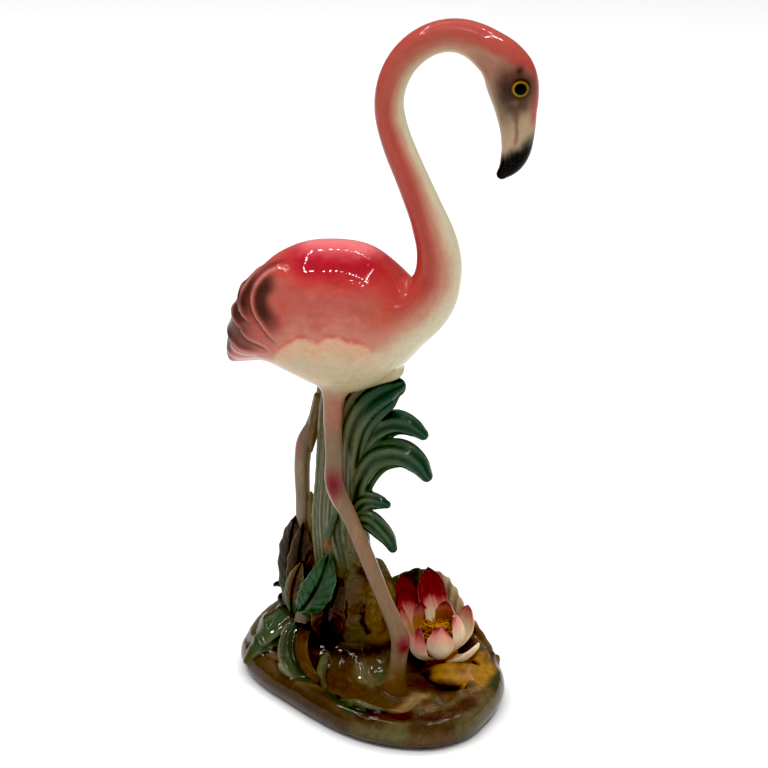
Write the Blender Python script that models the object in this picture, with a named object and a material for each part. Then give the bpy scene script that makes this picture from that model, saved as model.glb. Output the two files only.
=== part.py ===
# A glazed ceramic flamingo on a planted base with a water lily, one casting. Metres, +Z up.
# The bird faces +X. The origin is the middle of the flat underside.
import bpy
import bmesh
import numpy as np
from mathutils import Vector

# Driving sizes
STATUE_HEIGHT = 0.338  # underside to the top of the neck's arch
BASE_LENGTH = 0.1420  # along X, at the widest line of the wall
BASE_DEPTH = 0.1060  # along Y
BASE_WALL = 0.0150  # height of the rim's top
BASE_TUCK = 0.0050  # how far the wall draws in at the underside
RIM_WIDTH = 0.0075  # from the widest line to the inner side of the rim
POOL_DEPTH = 0.0050  # pool floor below the rim's top
LEG_THICKNESS = 0.0086
LEAF_THICKNESS = 0.0042
LEAF_CUP = 0.12  # how far a leaf's edges bend forward, as a share of half its width
LEAF_FOLD = 0.12  # how deep its midrib is pressed in, as the same share
PETAL_THICKNESS = 0.0024
PAD_THICKNESS = 0.0040
FOOT_EMBED = 0.0030  # how deep each foot stands in the floor

# How fine the fused surface is
VOXEL = 0.0008
SMOOTHING = 3
BLENDING = 40  # further smoothing where the neck and the thighs leave the body
TRIANGLES = 9200

# The figure's pose and carving are written for a statue 338 units tall, whose neck
# stands over x = 0, y = 0. The base's middle lies at BASE_MIDDLE in those units.
UNIT = STATUE_HEIGHT / 338
BASE_MIDDLE = np.array([-6.6, 5.5, 0.0])
PATTERN_LENGTH = 142.0
PATTERN_DEPTH = 106.0
PATTERN_RIM = 15.0
BELOW = 0.004  # the fused body runs on this far under the cut at z = 0
FLOOR = BASE_WALL - POOL_DEPTH


def figure(points):
    """Figure units to metres; further columns are radii and widths."""
    points = np.array(points, float)
    points[..., :3] -= BASE_MIDDLE
    return points * UNIT


def on_base(points):
    """What stands on the base moves with its length, depth and rim."""
    points = np.array(points, float)
    points[..., :3] -= BASE_MIDDLE
    points[..., 0] *= BASE_LENGTH / PATTERN_LENGTH
    points[..., 1] *= BASE_DEPTH / PATTERN_DEPTH
    points[..., 2] = (points[..., 2] - PATTERN_RIM) * UNIT + BASE_WALL
    points[..., 3:] *= UNIT
    return points


def smooth_line(points, count):
    """A smooth curve through rows of points, evenly spaced along its length."""
    points = np.asarray(points, float)
    steps = np.linalg.norm(np.diff(points[:, :3], axis=0), axis=1)
    knots = np.concatenate([[0], np.cumsum(steps)])
    along = np.linspace(0, knots[-1], count)
    index = np.clip(np.searchsorted(knots, along, "right") - 1, 0, len(points) - 2)
    step = steps[index][:, None]
    t = (along[:, None] - knots[index][:, None]) / step
    slope = np.gradient(points, knots, axis=0)
    start = (2 * t**3 - 3 * t**2 + 1) * points[index]
    start += (t**3 - 2 * t**2 + t) * slope[index] * step
    end = (3 * t**2 - 2 * t**3) * points[index + 1]
    end += (t**3 - t**2) * slope[index + 1] * step
    return start + end


def closed_line(points, count):
    """A smooth closed curve through rows of points."""
    points = np.asarray(points, float)
    wrapped = np.vstack([points[-3:], points, points[:3]])
    steps = np.linalg.norm(np.diff(wrapped, axis=0), axis=1)
    knots = np.concatenate([[0], np.cumsum(steps)])
    slope = np.gradient(wrapped, knots, axis=0)
    along = np.linspace(knots[3], knots[3 + len(points)], count, endpoint=False)
    index = np.clip(np.searchsorted(knots, along, "right") - 1, 0, len(wrapped) - 2)
    step = steps[index][:, None]
    t = (along[:, None] - knots[index][:, None]) / step
    curve = (2 * t**3 - 3 * t**2 + 1) * wrapped[index]
    curve += (t**3 - 2 * t**2 + t) * slope[index] * step
    curve += (3 * t**2 - 2 * t**3) * wrapped[index + 1]
    curve += (t**3 - t**2) * slope[index + 1] * step
    return curve


def frames(centre, side):
    """For each point of a path: its direction, and two directions square to it."""
    along = np.gradient(centre, axis=0)
    along /= np.linalg.norm(along, axis=1)[:, None]
    side = np.asarray(side, float)
    across = side - along * (along @ side)[:, None]
    across /= np.linalg.norm(across, axis=1)[:, None]
    return along, across, np.cross(along, across)


def round_ends(path, steps=5):
    """Adds half-round ends to a path whose fourth column is a radius."""
    turn = np.linspace(0, np.pi / 2, steps + 1)[1:]
    turn[-1] *= 0.97
    first, second = path[0], path[1]
    out = (first[:3] - second[:3]) / np.linalg.norm(first[:3] - second[:3])
    head = np.repeat(first[None], steps, axis=0)
    head[:, :3] += out * (np.sin(turn) * first[3])[:, None]
    head[:, 3:] *= np.cos(turn)[:, None]
    last, before = path[-1], path[-2]
    out = (last[:3] - before[:3]) / np.linalg.norm(last[:3] - before[:3])
    tail = np.repeat(last[None], steps, axis=0)
    tail[:, :3] += out * (np.sin(turn) * last[3])[:, None]
    tail[:, 3:] *= np.cos(turn)[:, None]
    return np.vstack([head[::-1], path, tail])


def tube(points, count=40, sides=28, side=(0, 1, 0), flat=1.0, ribs=0, rib=0.0):
    """A limb: ellipses along a path. flat is its size along side, as a share."""
    path = round_ends(smooth_line(points, count))
    centre, radius = path[:, :3], path[:, 3]
    _, across, up = frames(centre, side)
    turn = np.linspace(0, 2 * np.pi, sides, endpoint=False)
    reach = radius[:, None] * (1 + rib * np.cos(ribs * turn))
    rings = centre[:, None] + across[:, None] * (reach * np.cos(turn) * flat)[..., None]
    rings += up[:, None] * (reach * np.sin(turn))[..., None]
    return rings


def blade(points, face, thickness, cup=0.0, fold=0.0, count=26, sides=28):
    """A leaf or petal: a thin rounded section along a path, whose fourth column is
    half its width. cup bends the edges towards face, fold presses in the midrib."""
    path = smooth_line(points, count)
    half = np.maximum(path[:, 3], thickness * 0.3)
    _, normal, across = frames(path[:, :3], face)
    turn = np.linspace(0, 2 * np.pi, sides, endpoint=False)
    reach = np.cos(turn)
    lift = cup * reach**2 - fold * np.exp(-((reach / 0.22) ** 2))
    body = np.sign(np.sin(turn)) * np.abs(np.sin(turn)) ** 0.7 * thickness / 2
    rings = path[:, None, :3] + across[:, None] * (half[:, None] * reach)[..., None]
    return rings + normal[:, None] * (half[:, None] * lift + body)[..., None]


LEAF_WIDTHS = [(0, 0.35), (0.27, 0.85), (0.45, 1.0), (0.8, 0.72), (0.94, 0.36), (1, 0.12)]
PETAL_WIDTHS = [(0, 0.35), (0.3, 0.8), (0.55, 1.0), (0.75, 0.9), (0.9, 0.55), (1, 0.12)]


def widths_along(count, pairs, width):
    """Half a width at each row of a path, from (share of length, share of width) pairs."""
    shares, widths = np.transpose(pairs)
    return np.interp(np.linspace(0, 1, count), shares, widths) * width / 2


def leaf(points, width, face, thickness, cup, fold, rows=24):
    """A pointed leaf: narrow at its root, widest part way, closing to its tip."""
    path = smooth_line(points, rows)
    half = widths_along(rows, LEAF_WIDTHS, width)
    return blade(np.column_stack([path, half]), face, thickness, cup, fold, count=rows)


FEATHER_TAPER = 0.2  # share of a feather's line over which its step rises at each end
FEATHER_SOFTNESS = 0.35  # how rounded the step is, in figure units


def edge_relief(x, z, edges):
    """Overlapping feathers, drawn as lines in side view. Each line is a step: full
    height on its inner side, fading away from it, and nothing on its outer side."""
    total = np.zeros_like(x)
    for line, height, fade in edges:
        line = smooth_line(np.column_stack([line, np.zeros(len(line))]), 24)[:, :2]
        start, run = line[:-1], np.diff(line, axis=0)
        dx = x[..., None] - start[:, 0]
        dz = z[..., None] - start[:, 1]
        share = np.clip((dx * run[:, 0] + dz * run[:, 1]) / (run**2).sum(axis=1), 0, 1)
        distance = np.hypot(dx - share * run[:, 0], dz - share * run[:, 1])
        nearest = distance.argmin(axis=-1)[..., None]
        away = np.take_along_axis(distance, nearest, -1)[..., 0]
        cross = np.take_along_axis(run[:, 0] * dz - run[:, 1] * dx, nearest, -1)[..., 0]
        signed = np.where(cross > 0, away, -away)
        along = (nearest[..., 0] + np.take_along_axis(share, nearest, -1)[..., 0]) / len(start)
        rise = np.clip(np.minimum(along, 1 - along) / FEATHER_TAPER, 0, 1)
        step = 1 / (1 + np.exp(-signed / FEATHER_SOFTNESS))
        total += height * step * rise * np.exp(-np.maximum(signed, 0) / fade)
    return total


HEAD_TURN = np.radians(15)  # the head looks a little to the bird's left
HEAD_FORWARD = np.array([np.cos(HEAD_TURN), np.sin(HEAD_TURN), 0])
HEAD_SIDEWAYS = np.array([-np.sin(HEAD_TURN), np.cos(HEAD_TURN), 0])

# Feather edges on the rump: line in side view, step height, how far it fades
FEATHER_EDGES = [
    (
        [(-33, 223.6), (-36.6, 224), (-40.9, 223), (-45.3, 220.6), (-48.8, 217), (-51, 212.5), (-51.2, 208.5),
         (-50, 204.5), (-47.7, 201), (-44.7, 198.2), (-40.2, 193.9), (-35.6, 189.7)],
        3.2, 5.5,
    ),
    (
        [(-50, 221.5), (-54.5, 218), (-58, 213), (-60, 208.5), (-60, 204.5), (-57.8, 201), (-54.6, 198.6),
         (-51.2, 197.2)],
        2.8, 4.5,
    ),
    (
        [(-58.6, 214), (-62.2, 209.5), (-64.8, 204), (-65.8, 199.8), (-64.2, 196.8), (-60.5, 194.6),
         (-56.2, 192.6)],
        2.3, 4,
    ),
    (
        [(-64.7, 205.5), (-67.3, 201), (-69, 195.5), (-69.4, 190.8), (-67.2, 187.2), (-63.5, 184),
         (-59.5, 181.3), (-52.7, 180.8), (-43.3, 181.9)],
        1.8, 3.5,
    ),
    (
        [(-58, 193), (-56.2, 191), (-53.3, 189), (-48.7, 188), (-43.8, 186.6), (-40.9, 184.3)],
        1.6, 3,
    ),
]
KEEL_WIDTH = 6  # the feathers fade out this near to the middle of the back


def body():
    """The trunk of the bird: egg sections from the drooping tail to the breast."""
    stations = [  # x, top, bottom, half width
        (-71.2, 183.0, 171.5, 5.0),
        (-70.0, 187.0, 169.6, 9.5),
        (-66.5, 198.5, 169.4, 14.0),
        (-60.0, 211.3, 170.8, 19.0),
        (-50.0, 222.5, 172.0, 23.5),
        (-38.0, 229.8, 168.2, 27.0),
        (-20.5, 233.8, 162.6, 28.8),
        (-1.3, 232.2, 163.6, 27.2),
        (10.4, 225.2, 172.0, 23.0),
        (20.0, 217.0, 181.0, 18.0),
        (28.0, 209.0, 191.0, 12.5),
    ]
    x, top, bottom, half = smooth_line(np.array(stations) * (1, 0.5, 0.5, 1), 90).T
    top, bottom = top * 2, bottom * 2  # halved above so that x leads the spacing
    turn = np.linspace(0, 2 * np.pi, 96, endpoint=False)
    middle = (top + bottom)[:, None] / 2
    tall = (top - bottom)[:, None] / 2
    egg = 1 - 0.10 * np.sin(turn)
    long = np.broadcast_to(x[:, None], (len(x), len(turn)))
    rings = np.stack([long, half[:, None] * np.cos(turn) * egg, middle + tall * np.sin(turn)], axis=-1)
    lift = edge_relief(rings[..., 0], rings[..., 2], FEATHER_EDGES)
    lift *= np.clip(np.abs(rings[..., 1]) / KEEL_WIDTH, 0.25, 1)
    outward = np.column_stack([np.full(len(turn), -0.35), np.cos(turn), 0.5 * np.sin(turn)])
    return figure(rings + outward * lift[..., None])


def neck_and_head():
    """One tube from the breast, over the arch and down to the bill's tip."""
    neck = [
        (-4, 0, 193, 20), (6, 0, 196.5, 19.3), (15, 0, 200.5, 17.0), (24, 0, 206.5, 14.2),
        (29.5, 0, 213.5, 12.3), (32.2, 0, 221.8, 10.9), (32.6, 0, 229, 10.4), (31.6, 0, 236.4, 9.7),
        (29.1, 0, 244.2, 9.0), (26.2, 0, 251.4, 8.2), (23.8, 0, 256.8, 7.9), (20.4, 0, 264.3, 7.5),
        (17.5, 0, 270.6, 7.3), (14.1, 0, 278.1, 7.2), (11.3, 0, 285.2, 7.0), (9.3, 0, 292.4, 6.9),
        (8.4, 0, 299.6, 6.7), (8.9, 0.1, 305.2, 6.7), (11, 0.7, 312.6, 6.8), (14.5, 1.6, 319, 6.9),
        (19.6, 3, 324.6, 7.0), (25.9, 4.7, 328.7, 7.1), (32, 6.3, 330.6, 7.3), (39.1, 8.2, 330.6, 7.7),
        (45, 9.8, 328.6, 8.3), (51, 11.4, 324.8, 9.3), (56.6, 12.9, 319.8, 10.6), (59.9, 13.7, 314.6, 11.6),
        (61.7, 14.2, 308.6, 11.6), (62.8, 14.4, 302.7, 10.6), (63.4, 14.6, 296.9, 9.3),
        (64.0, 14.8, 290.3, 8.2), (64.0, 14.9, 285.4, 7.5), (63.7, 14.8, 280.8, 6.9),
        (62.8, 14.4, 276.9, 6.2), (61.5, 14.1, 273.9, 5.4), (59.8, 13.7, 271.1, 4.2),
        (57.6, 13.1, 268.6, 2.7),
    ]
    path = round_ends(smooth_line(figure(neck), 170))
    share = np.clip((path[:, 2] - 300 * UNIT) / (30 * UNIT), 0, 1)
    share[path[:, 0] > figure([[30, 0, 0]])[0, 0]] = 1
    along, across, up = frames(path[:, :3], (0, 1, 0))
    flat = np.ones(len(path))
    head = path[:, 0] > figure([[45, 0, 0]])[0, 0]
    drop = np.clip((322 * UNIT - path[:, 2]) / (22 * UNIT), 0, 1)
    flat[head] = 1 - 0.20 * drop[head]
    across = across * (1 - share[:, None]) + HEAD_SIDEWAYS * share[:, None]
    across -= along * (across * along).sum(axis=1)[:, None]
    across /= np.linalg.norm(across, axis=1)[:, None]
    up = np.cross(along, across)
    turn = np.linspace(0, 2 * np.pi, 32, endpoint=False)
    reach = path[:, 3, None]
    rings = path[:, None, :3] + across[:, None] * (reach * flat[:, None] * np.cos(turn))[..., None]
    return rings + up[:, None] * (reach * np.sin(turn))[..., None]


def eyes():
    """Each eye is a low dome on the side of the head."""
    middle = np.array([61.7, 14.2, 309.6]) + 3.6 * HEAD_FORWARD
    profile = [(5, 4.3), (9.2, 4.3), (10.3, 4.0), (11.1, 3.2), (11.5, 2.0), (11.6, 0.5)]  # out, radius
    turn = np.linspace(0, 2 * np.pi, 20, endpoint=False)
    out, radius = np.transpose(profile)
    domes = []
    for side in (-1, 1):
        rings = middle + side * out[:, None, None] * HEAD_SIDEWAYS
        rings = rings + radius[:, None, None] * np.cos(turn)[:, None] * HEAD_FORWARD
        rings = rings + radius[:, None, None] * np.sin(turn)[:, None] * np.array([0, 0, 1])
        domes.append(figure(rings))
    return domes


def legs():
    """Both legs, flared at the thigh, with a knot at knee and ankle."""
    near = [  # x, y, z, share of the leg's thickness
        (-12, -8, 182, 3.5), (-13.5, -8.5, 175, 2.9), (-14.6, -9, 168, 2.0), (-15.2, -10, 162, 1.4),
        (-15.9, -10, 149, 1.08), (-15.5, -10, 131, 1.0), (-15.2, -10, 117, 1.1), (-13.5, -10, 111, 1.08),
        (-9.1, -10, 103, 0.92), (0.5, -10, 81.8, 0.9), (9.6, -9.5, 59.5, 0.88), (15.5, -9, 45.5, 0.98),
        (17.6, -9, 39, 1.08), (17.2, -9, 32, 1.0), (16.2, -9, 23, 1.02), (15, -9, 14, 1.35),
    ]
    far = [
        (-23, 9, 172, 2.4), (-26.3, 10, 162, 1.4), (-28, 11, 155, 1.05), (-31, 12, 146.5, 0.92),
        (-34.8, 12, 135.7, 0.92), (-39.4, 12, 126, 1.0), (-40.6, 12, 118, 0.95), (-40.8, 12, 95.5, 0.85),
        (-41.1, 12, 74, 0.85), (-41, 12, 41, 0.95), (-41, 12, 26, 1.2),
    ]
    limbs = []
    for rows in (near, far):
        rows = np.array(rows, float)
        rows[:, 3] *= LEG_THICKNESS / 2 / UNIT
        path = figure(rows)
        foot = path[-1].copy()
        foot[2] = FLOOR - FOOT_EMBED
        foot[3] *= 1.1
        limbs.append(tube(np.vstack([path, foot]), 70, 24))
    return limbs


def skirt():
    """Clay that fills the corner between the belly, the near thigh and the fern's top."""
    rows = [(-13, -7, 168, 8), (-5, -4, 167, 8), (3, -1, 168.5, 7.5), (9, 1, 171.5, 6)]
    return [tube(figure(rows), 20, 24, flat=0.85)]


def fern():
    """Ribbed stalks rise behind the near leg and end in curls at the right."""
    stalks = [  # x, y, z, radius
        [(-17, 8, 48, 5), (-14.5, 6, 80, 5), (-14, 5, 110, 5.2), (-12.5, 4, 135, 5.4), (-7, 4, 153, 5.8),
         (2, 4, 160.6, 6.8), (8.5, 4, 163.6, 5.0), (11.6, 4, 164.6, 3.8)],
        [(-12, 9, 46, 5), (-10.5, 7, 75, 5), (-9.5, 5, 103, 5.4), (-7.5, 5, 126, 6.0), (1.1, 5, 141, 6.6),
         (11.5, 5, 146, 5.8), (19.8, 5, 143.8, 4.1), (23.8, 5, 141.2, 2.8)],
        [(-8, 10, 46, 4.6), (-8.5, 7, 75, 4.6), (-8.5, 4, 100, 5.0), (-5.5, 3, 116, 6.2),
         (3.9, 3, 128.8, 7.2), (15, 3, 131, 6.4), (22.5, 3, 126.5, 5.0), (26.3, 3, 121.4, 3.2)],
        [(-9, 3, 84, 4.4), (-8, 1, 98, 4.8), (-2, 0, 105.5, 4.6), (4.5, 0, 105.6, 3.2), (7.6, 0, 105.0, 2.0)],
        [(-10, 2, 80, 4.2), (-7, -1, 94, 4.4), (-1.5, -2, 96.5, 4.8), (4.5, -2, 92.5, 4.6),
         (9.2, -2, 87.6, 3.6), (11.2, -2, 83.6, 2.4)],
        [(-20, 6, 46, 4.2), (-19, 5, 80, 4.4), (-19, 5, 120, 4.6), (-18, 4, 150, 5.2), (-14, 3, 168, 6.0)],
        [(-26.5, 8, 44, 3.6), (-28.0, 6, 62, 3.0), (-29.2, 6, 88, 2.8), (-29.2, 6, 110, 2.9),
         (-27.6, 6, 132, 3.4), (-24.5, 6, 150, 4.6), (-21, 6, 164, 6.0)],
        [(-22.5, 5, 42, 3.8), (-24.5, 4, 62, 3.4), (-25, 4, 88, 3.4), (-24.6, 4, 112, 3.4),
         (-23, 4, 134, 4.0), (-20, 4, 156, 5.0)],
    ]
    return [tube(figure(points), 46, 30, flat=0.95, ribs=6, rib=0.07) for points in stalks]


def web():
    """Clay left between the far leg and the fern."""
    high = [(-30, 9, 152, 3.0), (-33, 10, 140, 3.0), (-34.8, 10, 130, 2.6), (-35.6, 10, 121, 1.4)]
    low = [
        (-35.6, 10, 103, 1.4), (-35.3, 10, 94, 2.8), (-35, 10, 78, 3.4), (-35, 10, 60, 4.0),
        (-35, 10, 42, 5.0),
    ]
    return [tube(figure(points), 20, 16, flat=0.7) for points in (high, low)]


def bells(x, y, spots):
    """The sum of rounded heaps: middle x, y, height, reach along x and along y."""
    height = np.zeros_like(x)
    for cx, cy, rise, rx, ry in spots:
        height += rise * np.exp(-(((x - cx) / rx) ** 2) - ((y - cy) / ry) ** 2)
    return height


def ground(x, y):
    """Height of the clay over the floor, in figure units: heaps less hollows."""
    heaps = [
        (-15, 22, 34, 17, 15), (-4, 30, 26, 11, 14), (-32, 26, 18, 18, 18),
        (-50, 20, 22, 15, 17), (-60, 10, 6, 14, 14), (28, 26, 5, 18, 14),
        (40, 38, 9, 14, 12), (14, -9, 2.2, 9, 9), (10, 42, 12, 22, 13), (50, 26, 5, 9, 9),
        (-10, -2, 4, 12, 12), (33, -32, 2.0, 5, 4), (50, -2, 3.5, 8, 12),
    ]
    hollows = [(-54, -2, 5, 6, 8), (5, -22, 1.5, 18, 7), (40.4, -9, 3.5, 7, 5), (49.7, -3.8, 4, 2.6, 2.6)]
    return bells(x, y, heaps) - bells(x, y, hollows)


def outline(count):
    """The base's widest line seen from above, in metres, and its outward normal."""
    shares = [  # of half the length and half the depth
        (-0.985, 0.19), (-0.86, -0.13), (-0.665, -0.36), (-0.43, -0.555), (-0.19, -0.745),
        (0.075, -0.915), (0.29, -0.99), (0.55, -0.985), (0.73, -0.905), (0.915, -0.65),
        (0.985, -0.30), (1.0, -0.05), (0.975, 0.24), (0.86, 0.56), (0.62, 0.80),
        (0.28, 0.945), (-0.08, 0.985), (-0.44, 0.94), (-0.76, 0.76), (-0.95, 0.48),
    ]
    line = closed_line(shares, count)
    line -= (line.max(axis=0) + line.min(axis=0)) / 2
    line *= np.array([BASE_LENGTH, BASE_DEPTH]) / np.ptp(line, axis=0)
    way = np.roll(line, -1, axis=0) - np.roll(line, 1, axis=0)
    outward = np.column_stack([way[:, 1], -way[:, 0]])
    return line, outward / np.linalg.norm(outward, axis=1)[:, None]


def base():
    """Wall rings from under the cut up to the rim, then rings of ground inwards."""
    line, outward = outline(220)
    wall = [  # share of the tuck or rim drawn in, share of the wall's height
        (1.6, -BELOW / BASE_WALL), (1.0, 0.0), (0.5, 0.10), (0.16, 0.25), (0.0, 0.47),
        (0.12, 0.70), (0.36, 0.88), (0.70, 0.99),
    ]
    rings = []
    for inset, height in wall:
        edge = line - outward * inset * BASE_TUCK
        rings.append(np.column_stack([edge, np.full(len(edge), height * BASE_WALL)]))
    inner = line - outward * RIM_WIDTH
    length_scale = PATTERN_LENGTH / BASE_LENGTH
    depth_scale = PATTERN_DEPTH / BASE_DEPTH
    for step, share in enumerate(np.linspace(1, 0.02, 46)):
        edge = inner * share
        x = edge[:, 0] * length_scale + BASE_MIDDLE[0]
        y = edge[:, 1] * depth_scale + BASE_MIDDLE[1]
        sink = POOL_DEPTH * min(1, 0.45 + step / 4)
        rise = ground(x, y) * UNIT * min(1, 0.55 + step / 8)
        rings.append(np.column_stack([edge, BASE_WALL - sink + rise]))
    return [np.array(rings)]


def cascade():
    """Long flat leaves that spill over the base's left end, and a twig's broken end."""
    spills = [  # path with half the leaf's width, and how thin it is
        ([(-50.6, 20, 35.5, 5.5), (-59.5, 16, 28, 6.5), (-67.5, 12.5, 18.5, 6.0), (-72, 10, 10.5, 3.5)], 0.5),
        ([(-44, 14, 33, 4.5), (-53, 8, 26.5, 5.8), (-61, 1.5, 19, 5.2), (-66, -3, 11, 3.0)], 0.55),
        ([(-46, 9, 29, 2.0), (-47, 0, 24.5, 2.4), (-44, -9.5, 19, 2.6), (-36, -17, 14.5, 2.4),
          (-26, -21.5, 12, 1.6)], 0.8),
        ([(-42.5, 11, 30.5, 2.5), (-42, 1, 26, 3.6), (-38.5, -8.5, 20.5, 3.6), (-31, -16, 15, 3.0),
          (-21, -20.5, 12.5, 2.0)], 0.7),
        ([(-37.4, 9, 28, 2.8), (-35.8, -2.5, 24, 3.2), (-31.5, -10, 18.5, 3.0), (-23, -17, 13.5, 2.2)], 0.7),
        ([(-13.3, 25, 24, 2.4), (-20.3, 15, 22, 2.8), (-25.5, 3.6, 19, 2.8), (-25, -9, 16, 2.8),
          (-18, -18, 12.5, 2.0)], 0.9),
        ([(-54.5, 17, 38, 3.0), (-43.3, 12.2, 33, 3.0), (-32.5, 9, 24, 2.6), (-27.5, 9, 18, 2.4)], 0.9),
    ]
    out = (-0.35, -0.55, 0.75)  # square to the heap that the leaves lie on
    parts = [tube(on_base(path), 30, 24, side=out, flat=thin, ribs=5, rib=0.08) for path, thin in spills]
    twig = [(-50, 16, 44, 2.2), (-56.5, 16, 46, 1.6), (-58.6, 16, 45, 1.2)]
    parts.append(tube(on_base(twig), 12, 12))
    return parts


def rock():
    """The boulder behind the near leg that the fern grows from."""
    rows = [
        (-14, 22, 8, 17), (-14, 21, 24, 15.5), (-14.5, 18, 42, 13),
        (-14, 14, 56, 10.5), (-14, 10, 68, 8), (-14, 7, 80, 5.5),
    ]
    return [tube(on_base(rows), 24, 28, ribs=5, rib=0.05)]


def leaves():
    """Upright leaves round the foot of the far leg, and one that hangs down the rock."""
    shapes = [  # path, width, way it faces
        ([(-49, 13, 36), (-48, 13, 52), (-46, 12, 70), (-43.2, 10, 87.5)], 15, (-0.3, -1, 0.1)),
        ([(-46, 10, 38), (-43.5, 8, 50), (-40, 6, 66), (-36.5, 6, 80)], 14, (0.2, -1, 0.2)),
        ([(-39, 3, 39), (-31, -2, 50), (-25, -3, 62), (-22.5, -1, 74.5)], 16, (0.3, -1, 0.25)),
        ([(-20, 4, 58), (-23.5, 2.5, 44), (-25.5, 5, 31), (-26.5, 8, 22.5)], 15, (0.2, -1, 0.2)),
    ]
    parts = []
    for path, width, face in shapes:
        parts.append(leaf(on_base(path), width * UNIT, face, LEAF_THICKNESS, LEAF_CUP, LEAF_FOLD))
    return parts


def petal(tip, bulge, width, cup, rows=20):
    """A petal of the water lily, from the flower's middle out over its bulge."""
    root = np.array([29.0, 20.0, 18.0])
    heart = np.array([28.0, 16.0, 46.0])
    tip, bulge = np.array(tip, float), np.array(bulge, float)
    t = np.linspace(0, 1, rows)[:, None]
    path = (1 - t) ** 2 * root + 2 * t * (1 - t) * bulge + t**2 * tip
    face = heart - (bulge * 0.7 + tip * 0.3)
    half = widths_along(rows, PETAL_WIDTHS, width)
    return blade(on_base(np.column_stack([path, half])), face / np.linalg.norm(face), PETAL_THICKNESS, cup)


def lotus():
    """The water lily: outer petals, an inner cup and a heart of stamens."""
    petals = [  # tip, bulge, width, cup
        ((2.6, 33, 53), (4, 36, 28), 14, 0.35), ((5, 38, 55), (8, 42, 32), 10, 0.2),
        ((16.3, 36, 58), (17, 42, 36), 15, 0.35), ((39, 31, 43), (42, 36, 26), 14, 0.3),
        ((16.5, 24, 44.5), (12, 24, 26), 12, 0.4), ((19.5, 28, 48), (20, 30, 34), 7, 0.3),
        ((29.9, 24, 47), (31, 32, 34), 12, 0.45), ((36.5, 16, 45), (48, 16, 30), 12, 0.4),
        ((21.5, 9, 38.3), (14, 0, 20), 15, 0.45), ((33, 8, 41), (35, -1, 24), 14, 0.4),
        ((50.5, 14, 32), (44, 9, 19), 11, 0.3), ((8, 18, 43), (5, 16, 23), 13, 0.4),
    ]
    parts = [petal(*row) for row in petals]
    parts.append(tube(on_base([(29, 22, 12, 9), (29, 20, 22, 8), (28.5, 17, 33, 6.5)]), 12, 20))
    return parts


def pads():
    """Lily pads: one upright behind the flower, two thick ones in front of it."""
    top = on_base([
        (-8, 38, 46), (3, 42, 51.5), (8, 42, 54), (14, 43, 53.5), (22.5, 42, 53), (28, 42, 48),
        (33.5, 42, 38), (41.5, 40, 28.5), (50, 36, 20),
    ])
    foot = on_base([
        (-8, 40, 12), (3, 43, 12), (8, 44, 12), (14, 45, 12), (23, 45, 12), (29, 44, 12),
        (35, 43, 12), (42, 40, 10), (50, 36, 9),
    ])
    rows = 40
    upper, lower = smooth_line(top, rows), smooth_line(foot, rows)
    turn = np.linspace(0, 2 * np.pi, rows, endpoint=False)
    middle, tall = (upper + lower) / 2, (upper - lower) / 2
    thick = np.cross(np.gradient(middle, axis=0), tall)
    thick /= np.linalg.norm(thick, axis=1)[:, None]
    share = np.linspace(0, 1, rows)
    flute = 0.25 * PAD_THICKNESS * np.sin(24 * np.pi * share) * np.sin(np.pi * share)
    rings = middle[:, None] + tall[:, None] * np.sin(turn)[:, None]
    rings = rings + thick[:, None] * (np.cos(turn) * PAD_THICKNESS / 2 + flute[:, None])[..., None]
    front = [
        [(24, 8, 13, 3), (34, 3, 17, 5), (43, 3, 19, 5.5), (52, 8, 18, 4)],
        [(28, 0, 11, 3), (38, -6, 13, 4), (48, -3, 15, 4), (56, 6, 16, 3)],
    ]
    return [rings] + [tube(on_base(points), 24, 20, side=(0, 0, 1), flat=0.8) for points in front]


def add_rings(cage, rings):
    """Skins rings of points into the mesh, with a face over each end."""
    rows, sides = rings.shape[:2]
    first = [[cage.verts.new(point) for point in ring] for ring in rings.tolist()]
    for lower, upper in zip(first, first[1:]):
        for i in range(sides):
            j = (i + 1) % sides
            cage.faces.new((lower[i], lower[j], upper[j], upper[i]))
    cage.faces.new(first[0][::-1])
    cage.faces.new(first[-1])


def glaze():
    """Salmon glaze, the statue's main colour."""
    material = bpy.data.materials.new("glazed_ceramic")
    material.use_nodes = True
    shader = material.node_tree.nodes["Principled BSDF"]
    shader.inputs["Base Color"].default_value = (0.62, 0.16, 0.13, 1)
    shader.inputs["Roughness"].default_value = 0.12
    shader.inputs["Metallic"].default_value = 0.0
    return material


def largest_piece(mesh):
    """Drops sealed pockets that the overlapping clay shapes leave inside."""
    unseen = set(mesh.verts)
    pieces = []
    while unseen:
        seed = unseen.pop()
        piece, edge = {seed}, [seed]
        while edge:
            vert = edge.pop()
            for link in vert.link_edges:
                other = link.other_vert(vert)
                if other not in piece:
                    piece.add(other)
                    edge.append(other)
        unseen -= piece
        pieces.append(piece)
    pieces.sort(key=len)
    for piece in pieces[:-1]:
        bmesh.ops.delete(mesh, geom=list(piece), context="VERTS")


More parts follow.
